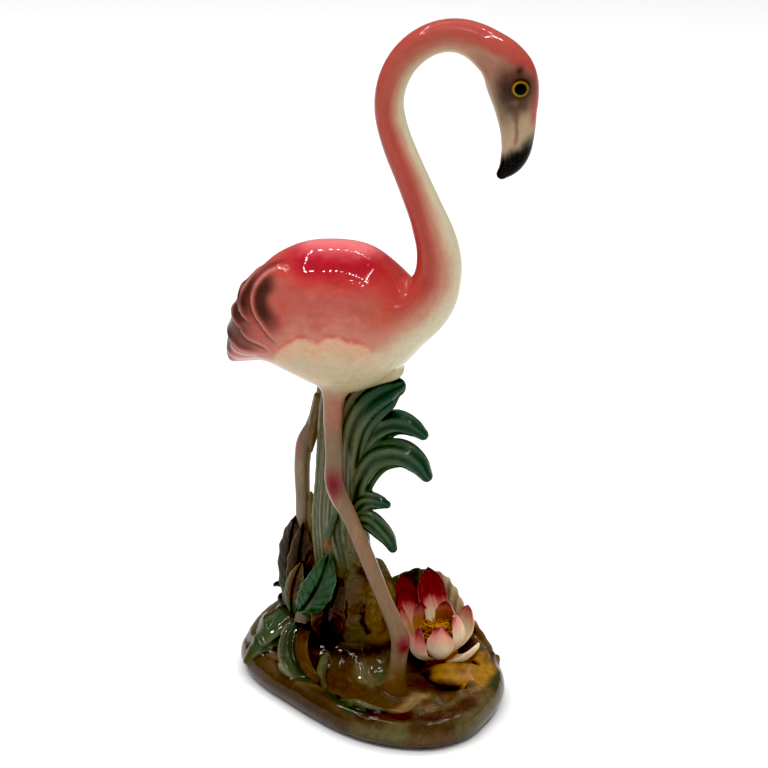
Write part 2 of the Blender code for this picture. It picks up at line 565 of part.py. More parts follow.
def blended(dense):
    """Works the joints of the bird together, as a modeller's thumb does."""
    points = np.empty(len(dense.vertices) * 3, np.float32)
    dense.vertices.foreach_get("co", points)
    points = points.reshape(-1, 3)
    joints = figure([
        (20, 0, 216, 17), (22, 0, 190, 16), (-14, -8, 168, 13), (-27, 10, 163, 9), (0, -2, 168, 13),
    ])  # middle x, y, z, reach
    near = np.zeros(len(points))
    for *middle, reach in joints:
        away = np.linalg.norm(points - middle, axis=1) / reach
        near = np.maximum(near, np.clip(1.6 - away, 0, 1))
    worked = bpy.data.objects.new("worked", dense)
    bpy.context.scene.collection.objects.link(worked)
    group = worked.vertex_groups.new(name="joints")
    for index in np.flatnonzero(near > 0.02).tolist():
        group.add([index], float(near[index]), "REPLACE")
    blend = worked.modifiers.new("blend", "SMOOTH")
    blend.iterations = BLENDING
    blend.factor = 0.5
    blend.vertex_group = group.name
    graph = bpy.context.evaluated_depsgraph_get()
    smooth = bpy.data.meshes.new_from_object(worked.evaluated_get(graph))
    bpy.data.objects.remove(worked)
    return smooth


def fused(cage):
    """The shapes made one skin, thinned to the triangle budget, cut flat below."""
    rough = bpy.data.meshes.new("clay")
    cage.to_mesh(rough)
    clay = bpy.data.objects.new("clay", rough)
    bpy.context.scene.collection.objects.link(clay)
    remesh = clay.modifiers.new("fuse", "REMESH")
    remesh.mode = "VOXEL"
    remesh.voxel_size = VOXEL
    soften = clay.modifiers.new("soften", "SMOOTH")
    soften.iterations = SMOOTHING
    soften.factor = 0.5
    graph = bpy.context.evaluated_depsgraph_get()
    dense = bpy.data.meshes.new_from_object(clay.evaluated_get(graph))
    bpy.data.objects.remove(clay)
    dense = blended(dense)
    work = bmesh.new()
    work.from_mesh(dense)
    largest_piece(work)
    work.to_mesh(dense)
    work.free()
    skin = bpy.data.objects.new("skin", dense)
    bpy.context.scene.collection.objects.link(skin)
    thin = skin.modifiers.new("thin", "DECIMATE")
    thin.ratio = TRIANGLES / (2 * len(dense.polygons))
    graph = bpy.context.evaluated_depsgraph_get()
    coarse = bpy.data.meshes.new_from_object(skin.evaluated_get(graph))
    bpy.data.objects.remove(skin)
    work = bmesh.new()
    work.from_mesh(coarse)
    cut = bmesh.ops.bisect_plane(
        work,
        geom=work.verts[:] + work.edges[:] + work.faces[:],
        plane_co=Vector((0, 0, 0)),
        plane_no=Vector((0, 0, 1)),
        clear_inner=True,
    )
    edges = [item for item in cut["geom_cut"] if isinstance(item, bmesh.types.BMEdge)]
    bmesh.ops.contextual_create(work, geom=edges)
    bmesh.ops.recalc_face_normals(work, faces=work.faces[:])
    work.to_mesh(coarse)
    work.free()
    return coarse


def statue():
    cage = bmesh.new()
    shapes = [body(), neck_and_head()]
    for group in (eyes, legs, skirt, fern, web, base, rock, cascade, leaves, lotus, pads):
        shapes += group()
    for rings in shapes:
        add_rings(cage, rings)
    bmesh.ops.recalc_face_normals(cage, faces=cage.faces[:])
    mesh = fused(cage)
    cage.free()
    mesh.name = "flamingo_statue"
    whole = bpy.data.objects.new("flamingo_statue", mesh)
    bpy.context.scene.collection.objects.link(whole)
    mesh.materials.clear()
    mesh.materials.append(glaze())
    mesh.shade_smooth()
    mesh.set_sharp_from_angle(angle=np.radians(50))
    return whole


for old in list(bpy.data.objects):
    bpy.data.objects.remove(old)
statue()
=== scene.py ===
import math

import bmesh
import bpy
import numpy as np
from mathutils import Matrix, Vector


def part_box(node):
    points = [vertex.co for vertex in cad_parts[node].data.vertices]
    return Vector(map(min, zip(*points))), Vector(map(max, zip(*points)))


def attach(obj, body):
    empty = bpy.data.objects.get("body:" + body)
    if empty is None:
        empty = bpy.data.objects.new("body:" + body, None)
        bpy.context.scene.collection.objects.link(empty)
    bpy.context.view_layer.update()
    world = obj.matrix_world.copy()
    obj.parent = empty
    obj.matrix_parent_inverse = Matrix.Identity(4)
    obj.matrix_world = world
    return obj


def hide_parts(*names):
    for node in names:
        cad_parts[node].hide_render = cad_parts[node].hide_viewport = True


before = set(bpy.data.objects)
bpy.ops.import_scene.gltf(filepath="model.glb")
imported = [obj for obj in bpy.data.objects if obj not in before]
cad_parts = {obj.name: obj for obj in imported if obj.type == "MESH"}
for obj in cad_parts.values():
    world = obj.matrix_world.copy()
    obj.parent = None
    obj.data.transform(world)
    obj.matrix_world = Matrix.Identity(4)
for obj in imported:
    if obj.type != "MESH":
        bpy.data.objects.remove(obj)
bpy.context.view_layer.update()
print("frame loaded")

# Forms are written in figure units: the statue is figureHeight of them tall, and its neck
# stands over x = 0, y = 0. The frame gives the scale; the base's middle is given as baseMiddle.
figureHeight = 338.4
baseMiddle = np.array([-6.6, 5.5, 0.0])
lowCorner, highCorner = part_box("flamingo_statue")
unit = (highCorner.z - lowCorner.z) / figureHeight


def toMetres(points):  # figure units to metres in the frame
    return (np.asarray(points, float) - baseMiddle) * unit


# Lines, noise and lofts, all as whole arrays


def hermite(rows, steps, knots, along):
    # Cubic through the rows at the lengths along: (2t^3 - 3t^2 + 1) of a row and (3t^2 - 2t^3)
    # of the next one, with their slopes by t^3 - 2t^2 + t and t^3 - t^2, t being the way between.
    index = np.clip(np.searchsorted(knots, along, "right") - 1, 0, len(rows) - 2)
    step = steps[index][:, None]
    t = (along[:, None] - knots[index][:, None]) / step
    slope = np.gradient(rows, knots, axis=0)
    start = (2 * t**3 - 3 * t**2 + 1) * rows[index] + (t**3 - 2 * t**2 + t) * slope[index] * step
    end = (3 * t**2 - 2 * t**3) * rows[index + 1] + (t**3 - t**2) * slope[index + 1] * step
    return start + end


def smoothLine(points, count):
    # Hermite curve through the rows, evenly spaced by length; further columns ride along.
    points = np.asarray(points, float)
    steps = np.linalg.norm(np.diff(points[:, :3], axis=0), axis=1)
    knots = np.concatenate([[0], np.cumsum(steps)])
    return hermite(points, steps, knots, np.linspace(0, knots[-1], count))


def closedLine(points, count):
    # The same curve run round a ring of rows.
    points = np.asarray(points, float)
    wrapped = np.vstack([points[-3:], points, points[:3]])
    steps = np.linalg.norm(np.diff(wrapped, axis=0), axis=1)
    knots = np.concatenate([[0], np.cumsum(steps)])
    along = np.linspace(knots[3], knots[3 + len(points)], count, endpoint=False)
    return hermite(wrapped, steps, knots, along)


def ease(low, high, value):  # 0 below low, 1 above high, smooth between
    t = np.clip((value - low) / (high - low), 0, 1)
    return t * t * (3 - 2 * t)


def bell(value, width):  # 1 at zero, fading over width
    return np.exp(-((value / width) ** 2))


def softNoise(points, size, seed):
    # Random heights at the corners of cubes of this size, eased between corners, 0 to 1.
    heights = np.random.default_rng(seed).random((32, 32, 32))
    cell = points / size
    corner = np.floor(cell).astype(int)
    t = cell - corner
    t = t * t * (3 - 2 * t)
    total = np.zeros(len(points))
    for step in np.ndindex(2, 2, 2):
        weight = np.prod(np.where(step, t, 1 - t), axis=1)
        at = (corner + step) % 32
        total += weight * heights[at[:, 0], at[:, 1], at[:, 2]]
    return total


def clouds(points, size, seed):  # three sizes of soft noise added, -1 to 1
    total = softNoise(points, size, seed) + 0.5 * softNoise(points, size / 2.1, seed + 1)
    total += 0.25 * softNoise(points, size / 4.3, seed + 2)
    return total / 0.875 - 1


def nearLine(points, line):
    # For each point: distance to the line, share of the line's length, and whether the
    # point lies to its left (2 columns only).
    distance, share, left = [], [], []
    start, run = line[:-1], np.diff(line, axis=0)
    square = np.maximum((run**2).sum(axis=1), 1e-12)
    reached = np.concatenate([[0], np.cumsum(np.sqrt(square))])
    for part in np.array_split(points, max(1, len(points) // 20000)):
        off = part[:, None] - start
        along = np.clip((off * run).sum(axis=2) / square, 0, 1)
        gap = np.linalg.norm(off - along[..., None] * run, axis=2)
        nearest = gap.argmin(axis=1)
        row = np.arange(len(part))
        distance.append(gap[row, nearest])
        share.append((reached[nearest] + along[row, nearest] * np.sqrt(square[nearest])) / reached[-1])
        if line.shape[1] == 2:
            turn = run[nearest, 0] * off[row, nearest, 1] - run[nearest, 1] * off[row, nearest, 0]
            left.append(turn > 0)
    return np.concatenate(distance), np.concatenate(share), np.concatenate(left) if left else None


def pathFrames(centre, side):
    # At each point of a path: its direction and two directions square to it.
    along = np.gradient(centre, axis=0)
    along /= np.linalg.norm(along, axis=1)[:, None]
    across = side - along * (along * side).sum(axis=1)[:, None]
    across /= np.linalg.norm(across, axis=1)[:, None]
    return along, across, np.cross(along, across)


def roundEnds(path, steps=7):
    # A half-round end, of the fourth column's radius, at both ends of a path.
    turn = np.linspace(0, math.pi / 2, steps + 1)[1:]
    turn[-1] *= 0.985
    ends = []
    for end, inner in ((path[0], path[1]), (path[-1], path[-2])):
        out = (end[:3] - inner[:3]) / np.linalg.norm(end[:3] - inner[:3])
        cap = np.repeat(end[None], steps, axis=0)
        cap[:, :3] += out * (np.sin(turn) * end[3])[:, None]
        cap[:, 3:] *= np.cos(turn)[:, None]
        ends.append(cap)
    return np.vstack([ends[0][::-1], path, ends[1]])


def tube(points, count=90, sides=48, side=(0, 1, 0), flat=1.0, ribs=0, rib=0.0):
    # An ellipse carried along a path of x, y, z, radius; ribs swell it round its turn.
    path = roundEnds(smoothLine(points, count))
    _, across, up = pathFrames(path[:, :3], np.array(side, float))
    turn = np.linspace(0, 2 * math.pi, sides, endpoint=False)
    crest = np.cos(ribs * turn)
    crest = np.sign(crest) * np.abs(crest) ** 0.8
    reach = path[:, 3, None] * (1 + rib * crest)
    grid = path[:, None, :3] + across[:, None] * (reach * np.cos(turn) * flat)[..., None]
    grid += up[:, None] * (reach * np.sin(turn))[..., None]
    share = np.broadcast_to(np.linspace(0, 1, len(path))[:, None], grid.shape[:2])
    return {"grid": grid, "share": share, "turn": np.broadcast_to(turn, grid.shape[:2])}


def blade(path, half, face, thickness, cup=0.0, relief=None, sides=64, edge=0.5):
    # A thin rounded section carried along a path: across it, width times the cosine of the
    # turn; through it, half the thickness times the sine. cup lifts the edges towards face.
    count = len(path)
    _, normal, across = pathFrames(path, np.array(face, float))
    turn = np.linspace(0, 2 * math.pi, sides, endpoint=False)
    reach = np.broadcast_to(np.cos(turn), (count, sides))
    share = np.broadcast_to(np.linspace(0, 1, count)[:, None], (count, sides))
    wide = np.maximum(half, thickness * 0.25)[:, None] * reach
    slim = (1 - (1 - edge) * np.abs(reach) ** 2) * np.sign(np.sin(turn)) * np.abs(np.sin(turn)) ** 0.6
    ends = np.minimum(1, np.minimum(share, 1 - share) * 12 + 0.25)
    lift = cup * np.maximum(half, thickness)[:, None] * reach**2
    body = slim * ends * thickness / 2
    if relief is not None:
        body = body + relief(share, reach) * np.where(np.sin(turn) >= 0, 1, 0.3)
    grid = path[:, None] + across[:, None] * wide[..., None] + normal[:, None] * (lift + body)[..., None]
    return {"grid": grid, "share": share, "turn": np.broadcast_to(turn, (count, sides)), "reach": reach}


# From lofts to meshes


def tone(red, green, blue):  # a colour as a painter sees it, 0 to 255, kept as 0 to 1
    return np.array([red, green, blue], float) / 255


def toLight(colour):  # the same colour as linear light
    return np.where(colour <= 0.04045, colour / 12.92, ((np.maximum(colour, 0) + 0.055) / 1.055) ** 2.4)


def lay(paint, colour, amount):  # washes a colour over the paint, as strongly as amount
    paint += (colour - paint) * np.clip(amount, 0, 1)[:, None]


def joinedShells(shells):
    # Points and faces of closed lofts, one after another, with a face over each end.
    points, faces, start = [], [], 0
    for shell in shells:
        rows, sides = shell["grid"].shape[:2]
        index = start + np.arange(rows * sides).reshape(rows, sides)
        beside = np.roll(index, -1, axis=1)
        quads = np.stack([index[:-1], beside[:-1], beside[1:], index[1:]], axis=-1).reshape(-1, 4)
        faces += quads.tolist() + [index[0, ::-1].tolist(), index[-1].tolist()]
        points.append(shell["grid"].reshape(-1, 3))
        start += rows * sides
    return np.vstack(points), faces


def newMesh(name, points, faces):  # points in figure units
    mesh = bpy.data.meshes.new(name)
    mesh.from_pydata(toMetres(points), [], faces)
    mesh.validate()
    mesh.update()
    return mesh


def outwardFaces(mesh):
    # Turns the mesh's faces outwards, shell by shell.
    work = bmesh.new()
    work.from_mesh(mesh)
    bmesh.ops.recalc_face_normals(work, faces=work.faces[:])
    work.to_mesh(mesh)
    work.free()


def meshPoints(mesh):  # the mesh's points in figure units
    flat = np.empty(len(mesh.vertices) * 3, np.float32)
    mesh.vertices.foreach_get("co", flat)
    return flat.reshape(-1, 3).astype(float) / unit + baseMiddle


def setPoints(mesh, points):  # moves the mesh's points there
    mesh.vertices.foreach_set("co", toMetres(points).astype(np.float32).ravel())
    mesh.update()


def meshEdges(mesh):  # the two points of each edge
    flat = np.empty(len(mesh.edges) * 2, np.int32)
    mesh.edges.foreach_get("vertices", flat)
    return flat.reshape(-1, 2)


def meshNormals(mesh):  # which way the skin faces at each point
    flat = np.empty(len(mesh.vertices) * 3, np.float32)
    mesh.vertices.foreach_get("normal", flat)
    return flat.reshape(-1, 3).astype(float)


def relaxed(values, edges, rounds, share=0.5):
    # Each value moves part of the way to the mean of its neighbours, round after round.
    count = np.bincount(edges.ravel(), minlength=len(values))[:, None]
    for _ in range(rounds):
        total = np.zeros_like(values)
        for column in range(values.shape[1]):
            total[:, column] = np.bincount(edges[:, 0], values[edges[:, 1], column], len(values))
            total[:, column] += np.bincount(edges[:, 1], values[edges[:, 0], column], len(values))
        values = values + share * (total / count - values)
    return values


def fusedMesh(name, shells, voxel, rounds):
    # Overlapping lofts made one skin of small squares, then eased smooth.
    points, faces = joinedShells(shells)
    rough = newMesh(name + "_rough", points, faces)
    outwardFaces(rough)
    clay = bpy.data.objects.new(name + "_clay", rough)
    bpy.context.scene.collection.objects.link(clay)
    remesh = clay.modifiers.new("fuse", "REMESH")
    remesh.mode = "VOXEL"
    remesh.voxel_size = voxel * unit
    remesh.adaptivity = 0
    graph = bpy.context.evaluated_depsgraph_get()
    mesh = bpy.data.meshes.new_from_object(clay.evaluated_get(graph))
    bpy.data.objects.remove(clay)
    mesh.name = name
    setPoints(mesh, relaxed(meshPoints(mesh), meshEdges(mesh), rounds))
    return mesh


def keepPaint(mesh, paint, flow):
    # paint is the glaze colour; flow are coordinates drawn out along the brush strokes.
    colour = mesh.attributes.new("paint", "FLOAT_COLOR", "POINT")
    rgba = np.column_stack([toLight(paint), np.ones(len(paint))])
    colour.data.foreach_set("color", rgba.astype(np.float32).ravel())
    way = mesh.attributes.new("flow", "FLOAT_VECTOR", "POINT")
    way.data.foreach_set("vector", flow.astype(np.float32).ravel())


def finishedPiece(name, mesh, material):
    # Puts the piece in the scene in its glaze, in place of the plain solid.
    piece = bpy.data.objects.new(name, mesh)
    bpy.context.scene.collection.objects.link(piece)
    mesh.materials.clear()
    mesh.materials.append(material)
    mesh.shade_smooth()
    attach(piece, "root")
    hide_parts("flamingo_statue")
    triangles = sum(len(face.vertices) - 2 for face in mesh.polygons)
    print(f"{name}: {triangles} triangles")
    return piece


# Glazes


def linked(tree, kind, inputs=(), **settings):
    # A new node with its settings, and its inputs set to values or joined to outputs.
    node = tree.nodes.new(kind)
    for key, value in settings.items():
        setattr(node, key, value)
    for key, value in dict(inputs).items():
        if isinstance(value, bpy.types.NodeSocket):
            tree.links.new(value, node.inputs[key])
        else:
            node.inputs[key].default_value = value
    return node


# Sizes are cells per metre, heights metres, roughness and index as the shader takes them.
coating = {
    "mottling": 260.0,
    "crazing": 520.0,
    "crazeBend": 0.0006,  # how far a crazing line wanders
    "crazeBends": 400.0,
    "crazeTone": (0.16, 0.09, 0.05, 1),
    "specks": 210.0,
    "speckLimit": 0.86,  # a cell whose random grey is over it holds a speck
    "speckTone": (0.05, 0.025, 0.02, 1),
    "ripples": 130.0,
    "rippleHeight": 0.0003,
    "unevenness": 0.06,  # of the roughness under the coat
    "coatRoughness": 0.02,
    "coatIndex": 1.25,
}


def glaze(name, streak=0.10, mottle=0.10, craze=0.18, speck=0.25, wave=0.35, bodyRoughness=0.32):
    # Underglaze paint with brush streaks, mottling, hair-fine crazing and pinhole specks,
    # under a clear coat that is slightly wavy.
    material = bpy.data.materials.new(name)
    material.use_nodes = True
    tree = material.node_tree
    shader = tree.nodes["Principled BSDF"]
    place = linked(tree, "ShaderNodeTexCoord").outputs["Object"]
    paint = linked(tree, "ShaderNodeAttribute", attribute_name="paint").outputs["Color"]
    flow = linked(tree, "ShaderNodeAttribute", attribute_name="flow").outputs["Vector"]

    streaks = linked(tree, "ShaderNodeTexNoise", {
        "Vector": flow, "Scale": 1.0, "Detail": 4.0, "Roughness": 0.6})
    drift = linked(tree, "ShaderNodeTexNoise", {
        "Vector": place, "Scale": coating["mottling"], "Detail": 5.0, "Roughness": 0.6})
    spread = {"From Min": 0.3, "From Max": 0.7}
    streakShade = linked(tree, "ShaderNodeMapRange", {
        "Value": streaks.outputs["Fac"], **spread, "To Min": 1 - streak, "To Max": 1 + streak})
    driftShade = linked(tree, "ShaderNodeMapRange", {
        "Value": drift.outputs["Fac"], **spread, "To Min": 1 - mottle, "To Max": 1 + mottle})
    both = linked(tree, "ShaderNodeMath", {
        0: streakShade.outputs["Result"], 1: driftShade.outputs["Result"]}, operation="MULTIPLY")
    shaded = linked(tree, "ShaderNodeVectorMath", {0: paint}, operation="SCALE")
    tree.links.new(both.outputs[0], shaded.inputs["Scale"])

    bent = linked(tree, "ShaderNodeVectorMath", {0: place}, operation="ADD")
    bend = linked(tree, "ShaderNodeTexNoise", {
        "Vector": place, "Scale": coating["crazeBends"], "Detail": 1.0})
    small = linked(tree, "ShaderNodeVectorMath", {0: bend.outputs["Color"]}, operation="SCALE")
    small.inputs["Scale"].default_value = coating["crazeBend"]
    tree.links.new(small.outputs[0], bent.inputs[1])
    cells = linked(tree, "ShaderNodeTexVoronoi", {
        "Vector": bent.outputs[0], "Scale": coating["crazing"]}, feature="DISTANCE_TO_EDGE")
    hairline = linked(tree, "ShaderNodeMapRange", {
        "Value": cells.outputs["Distance"], "From Min": 0.012, "From Max": 0.05,
        "To Min": 1.0, "To Max": 0.0})
    hairAmount = linked(tree, "ShaderNodeMath", {
        0: hairline.outputs["Result"], 1: craze}, operation="MULTIPLY")
    crazed = linked(tree, "ShaderNodeMix", {"Factor": hairAmount.outputs[0]}, data_type="RGBA")
    tree.links.new(shaded.outputs[0], crazed.inputs[6])
    crazed.inputs[7].default_value = coating["crazeTone"]

    dots = linked(tree, "ShaderNodeTexVoronoi", {
        "Vector": place, "Scale": coating["specks"]}, feature="F1")
    dot = linked(tree, "ShaderNodeMapRange", {
        "Value": dots.outputs["Distance"], "From Min": 0.05, "From Max": 0.11,
        "To Min": 1.0, "To Max": 0.0})
    rare = linked(tree, "ShaderNodeMath", {
        0: dots.outputs["Color"], 1: coating["speckLimit"]}, operation="GREATER_THAN")
    dotAmount = linked(tree, "ShaderNodeMath", {
        0: dot.outputs["Result"], 1: rare.outputs[0]}, operation="MULTIPLY")
    dotShare = linked(tree, "ShaderNodeMath", {0: dotAmount.outputs[0], 1: speck}, operation="MULTIPLY")
    specked = linked(tree, "ShaderNodeMix", {"Factor": dotShare.outputs[0]}, data_type="RGBA")
    tree.links.new(crazed.outputs[2], specked.inputs[6])
    specked.inputs[7].default_value = coating["speckTone"]
    tree.links.new(specked.outputs[2], shader.inputs["Base Color"])

    ripple = linked(tree, "ShaderNodeTexNoise", {
        "Vector": place, "Scale": coating["ripples"], "Detail": 2.0})
    coat = linked(tree, "ShaderNodeBump", {
        "Height": ripple.outputs["Fac"], "Strength": wave, "Distance": coating["rippleHeight"]})
    tree.links.new(coat.outputs[0], shader.inputs["Normal"])
    tree.links.new(coat.outputs[0], shader.inputs["Coat Normal"])
    uneven = linked(tree, "ShaderNodeMapRange", {
        "Value": drift.outputs["Fac"], "To Min": bodyRoughness - coating["unevenness"],
        "To Max": bodyRoughness + coating["unevenness"]})
    tree.links.new(uneven.outputs["Result"], shader.inputs["Roughness"])
    shader.inputs["Coat Weight"].default_value = 1.0
    shader.inputs["Coat Roughness"].default_value = coating["coatRoughness"]
    shader.inputs["Coat IOR"].default_value = coating["coatIndex"]
    shader.inputs["Specular IOR Level"].default_value = 0.0
    return material


# The bird

bird = {
    "voxel": 0.77,
    "easing": 4,
    "headTurn": math.radians(15),  # the head looks a little to the bird's left
    "legThickness": 8.6,
    "jointEasing": 45,
}
headForward = np.array([math.cos(bird["headTurn"]), math.sin(bird["headTurn"]), 0])
headSideways = np.array([-math.sin(bird["headTurn"]), math.cos(bird["headTurn"]), 0])
eyeMiddle = np.array([61.7, 14.2, 309.6]) + 3.6 * headForward

# x, top, bottom, half width from the drooping tail to the breast
trunkStations = [
    (-71.2, 183.0, 171.5, 5.0), (-70.0, 187.0, 169.6, 9.5), (-66.5, 198.5, 169.4, 14.0),
    (-60.0, 211.3, 170.8, 19.0), (-50.0, 222.5, 172.0, 23.5), (-38.0, 229.8, 168.2, 27.0),
    (-20.5, 233.8, 162.6, 28.8), (-1.3, 232.2, 163.6, 27.2), (10.4, 225.2, 172.0, 23.0),
    (20.0, 217.0, 181.0, 18.0), (28.0, 209.0, 191.0, 12.5),
]

# x, y, z, radius from inside the breast, up and over the arch to the bill's tip
neckStations = [
    (-4, 0, 193, 20), (6, 0, 196.5, 19.3), (15, 0, 200.5, 17.0), (24, 0, 206.5, 14.2),
    (29.5, 0, 213.5, 12.3), (32.2, 0, 221.8, 10.9), (32.6, 0, 229, 10.4), (31.6, 0, 236.4, 9.7),
    (29.1, 0, 244.2, 9.0), (26.2, 0, 251.4, 8.2), (23.8, 0, 256.8, 7.9), (20.4, 0, 264.3, 7.5),
    (17.5, 0, 270.6, 7.3), (14.1, 0, 278.1, 7.2), (11.3, 0, 285.2, 7.0), (9.3, 0, 292.4, 6.9),
    (8.4, 0, 299.6, 6.7), (8.9, 0.1, 305.2, 6.7), (11, 0.7, 312.6, 6.8), (14.5, 1.6, 319, 6.9),
    (19.6, 3, 324.6, 7.0), (25.9, 4.7, 328.7, 7.1), (32, 6.3, 330.6, 7.3), (39.1, 8.2, 330.6, 7.7),
    (45, 9.8, 328.6, 8.3), (51, 11.4, 324.8, 9.3), (56.6, 12.9, 319.8, 10.6), (59.9, 13.7, 314.6, 11.6),
    (61.7, 14.2, 308.6, 11.6), (62.8, 14.4, 302.7, 10.6), (63.4, 14.6, 296.9, 9.3),
    (64.0, 14.8, 290.3, 8.2), (64.0, 14.9, 285.4, 7.5), (63.7, 14.8, 280.8, 6.9),
    (62.8, 14.4, 276.9, 6.2), (61.5, 14.1, 273.9, 5.4), (59.8, 13.7, 271.1, 4.2), (57.6, 13.1, 268.6, 2.7),
]

# x, y, z, thickness as a share of legThickness
nearLeg = [
    (-12, -8, 182, 3.5), (-13.5, -8.5, 175, 2.9), (-14.6, -9, 168, 2.0), (-15.2, -10, 162, 1.4),
    (-15.9, -10, 149, 1.08), (-15.5, -10, 131, 1.0), (-15.2, -10, 117, 1.1),
    (-13.5, -10, 111, 1.08), (-9.1, -10, 103, 0.92), (0.5, -10, 81.8, 0.9),
    (9.6, -9.5, 59.5, 0.88), (15.5, -9, 45.5, 0.98), (17.6, -9, 39, 1.08),
    (17.2, -9, 32, 1.0), (16.2, -9, 23, 1.02), (15, -9, 14, 1.35), (15, -9, 7, 1.5),
]
farLeg = [
    (-23, 9, 172, 2.4), (-26.3, 10, 162, 1.4), (-28, 11, 155, 1.05), (-31, 12, 146.5, 0.92),
    (-34.8, 12, 135.7, 0.92), (-39.4, 12, 126, 1.0), (-40.6, 12, 118, 0.95), (-40.8, 12, 95.5, 0.85),
    (-41.1, 12, 74, 0.85), (-41, 12, 41, 0.95), (-41, 12, 26, 1.2), (-41, 12, 10, 1.3),
]

# Clay that fills the corner between belly, near thigh and fern: x, y, z, radius
skirt = [(-13, -6, 171, 7), (-5, -3, 170.5, 7), (3, 0, 171.5, 7), (9.5, 2, 173.5, 6)]

# Feather edges on the rump in side view: x and z along the line, step height, fade inwards
featherEdges = [
    {"line": [(-33, 223.6), (-36.6, 224), (-40.9, 223), (-45.3, 220.6), (-48.8, 217), (-51, 212.5),
              (-51.2, 208.5), (-50, 204.5), (-47.7, 201), (-44.7, 198.2), (-40.2, 193.9), (-35.6, 189.7)],
     "height": 2.4, "fade": 5.5},
    {"line": [(-50, 221.5), (-54.5, 218), (-58, 213), (-60, 208.5), (-60, 204.5), (-57.8, 201),
              (-54.6, 198.6), (-51.2, 197.2)], "height": 2.2, "fade": 4.5},
    {"line": [(-58.6, 214), (-62.2, 209.5), (-64.8, 204), (-65.8, 199.8), (-64.2, 196.8), (-60.5, 194.6),
              (-56.2, 192.6)], "height": 1.9, "fade": 4.0},
    {"line": [(-64.7, 205.5), (-67.3, 201), (-69, 195.5), (-69.4, 190.8), (-67.2, 187.2), (-63.5, 184),
              (-59.5, 181.3), (-52.7, 180.8), (-43.3, 181.9)], "height": 1.5, "fade": 3.5},
    {"line": [(-58, 193), (-56.2, 191), (-53.3, 189), (-48.7, 188), (-43.8, 186.6), (-40.9, 184.3)],
     "height": 1.2, "fade": 3.0},
]


def trunk():
    # Egg sections along x: half width times the cosine, half height times the sine.
    rows = np.array(trunkStations)
    squat = np.column_stack([rows[:, 0], rows[:, 1:3] * 0.5, rows[:, 3]])  # x leads the spacing
    line = smoothLine(squat, 150)
    x, top, bottom, half = line[:, 0], line[:, 1] * 2, line[:, 2] * 2, line[:, 3]
    turn = np.linspace(0, 2 * math.pi, 144, endpoint=False)
    egg = 1 - 0.10 * np.sin(turn)
    grid = np.stack([
        np.broadcast_to(x[:, None], (len(x), len(turn))),
        half[:, None] * np.cos(turn) * egg,
        (top + bottom)[:, None] / 2 + (top - bottom)[:, None] / 2 * np.sin(turn),
    ], axis=-1)
    return {"grid": grid}


def neckPath():
    # The neck's centre line, its radius, and the directions across it and towards its back.
    path = roundEnds(smoothLine(neckStations, 230), 9)
    turned = ease(20, 34, path[:, 0])[:, None]
    turned[path[:, 2] < 290] = 0
    turned[path[:, 0] > 40] = 1
    side = np.array([0, 1, 0]) * (1 - turned) + headSideways * turned
    _, across, back = pathFrames(path[:, :3], side)
    return path, across, back


def neck():
    # Circles along the neck; the head and bill are a fifth narrower from side to side.
    path, across, back = neckPath()
    turn = np.linspace(0, 2 * math.pi, 72, endpoint=False)
    flat = np.ones(len(path))
    high = path[:, 0] > 45
    flat[high] = 1 - 0.20 * np.clip((322 - path[high, 2]) / 22, 0, 1)
    reach = path[:, 3, None]
    grid = path[:, None, :3] + across[:, None] * (reach * flat[:, None] * np.cos(turn))[..., None]
    return {"grid": grid + back[:, None] * (reach * np.sin(turn))[..., None]}


def leg(rows):
    # A round tube whose radius is each row's share of half the leg's thickness.
    rows = np.array(rows, float)
    rows[:, 3] *= bird["legThickness"] / 2
    return tube(rows, 120, 48)


def flatLine(rows, count):  # a smooth line in side view through rows of x and z
    rows = np.array(rows, float)
    return smoothLine(np.column_stack([rows, np.zeros(len(rows))]), count)[:, :2]


def featherRelief(points):
    # Each line is a step: full height just inside it, fading inwards, with soft ends.
    side = points[:, [0, 2]]
    total = np.zeros(len(points))
    for edge in featherEdges:
        away, share, left = nearLine(side, flatLine(edge["line"], 40))
        inner = np.where(left, away, -away)
        ends = ease(0, 0.18, share) * ease(0, 0.12, 1 - share)
        fade = np.exp(-np.maximum(inner, 0) / edge["fade"])
        total += edge["height"] * ends * ease(-0.5, 0.5, inner) * fade
    return total * ease(3, 9, np.abs(points[:, 1])) * ease(-24, -32, points[:, 0])


def shoulderRelief(points):
    # A soft raised line where the wing meets the neck's root.
    ridge = [
        (-7.9, 220.1), (-2.3, 220), (2.4, 217.6), (7.2, 213.9), (11.9, 210.4), (17.1, 209.2), (23, 211),
    ]
    away, share, _ = nearLine(points[:, [0, 2]], flatLine(ridge, 30))
    ends = ease(0, 0.25, share) * ease(0, 0.2, 1 - share)
    return 0.5 * bell(away, 0.9) * ends * ease(4, 8, np.abs(points[:, 1]))


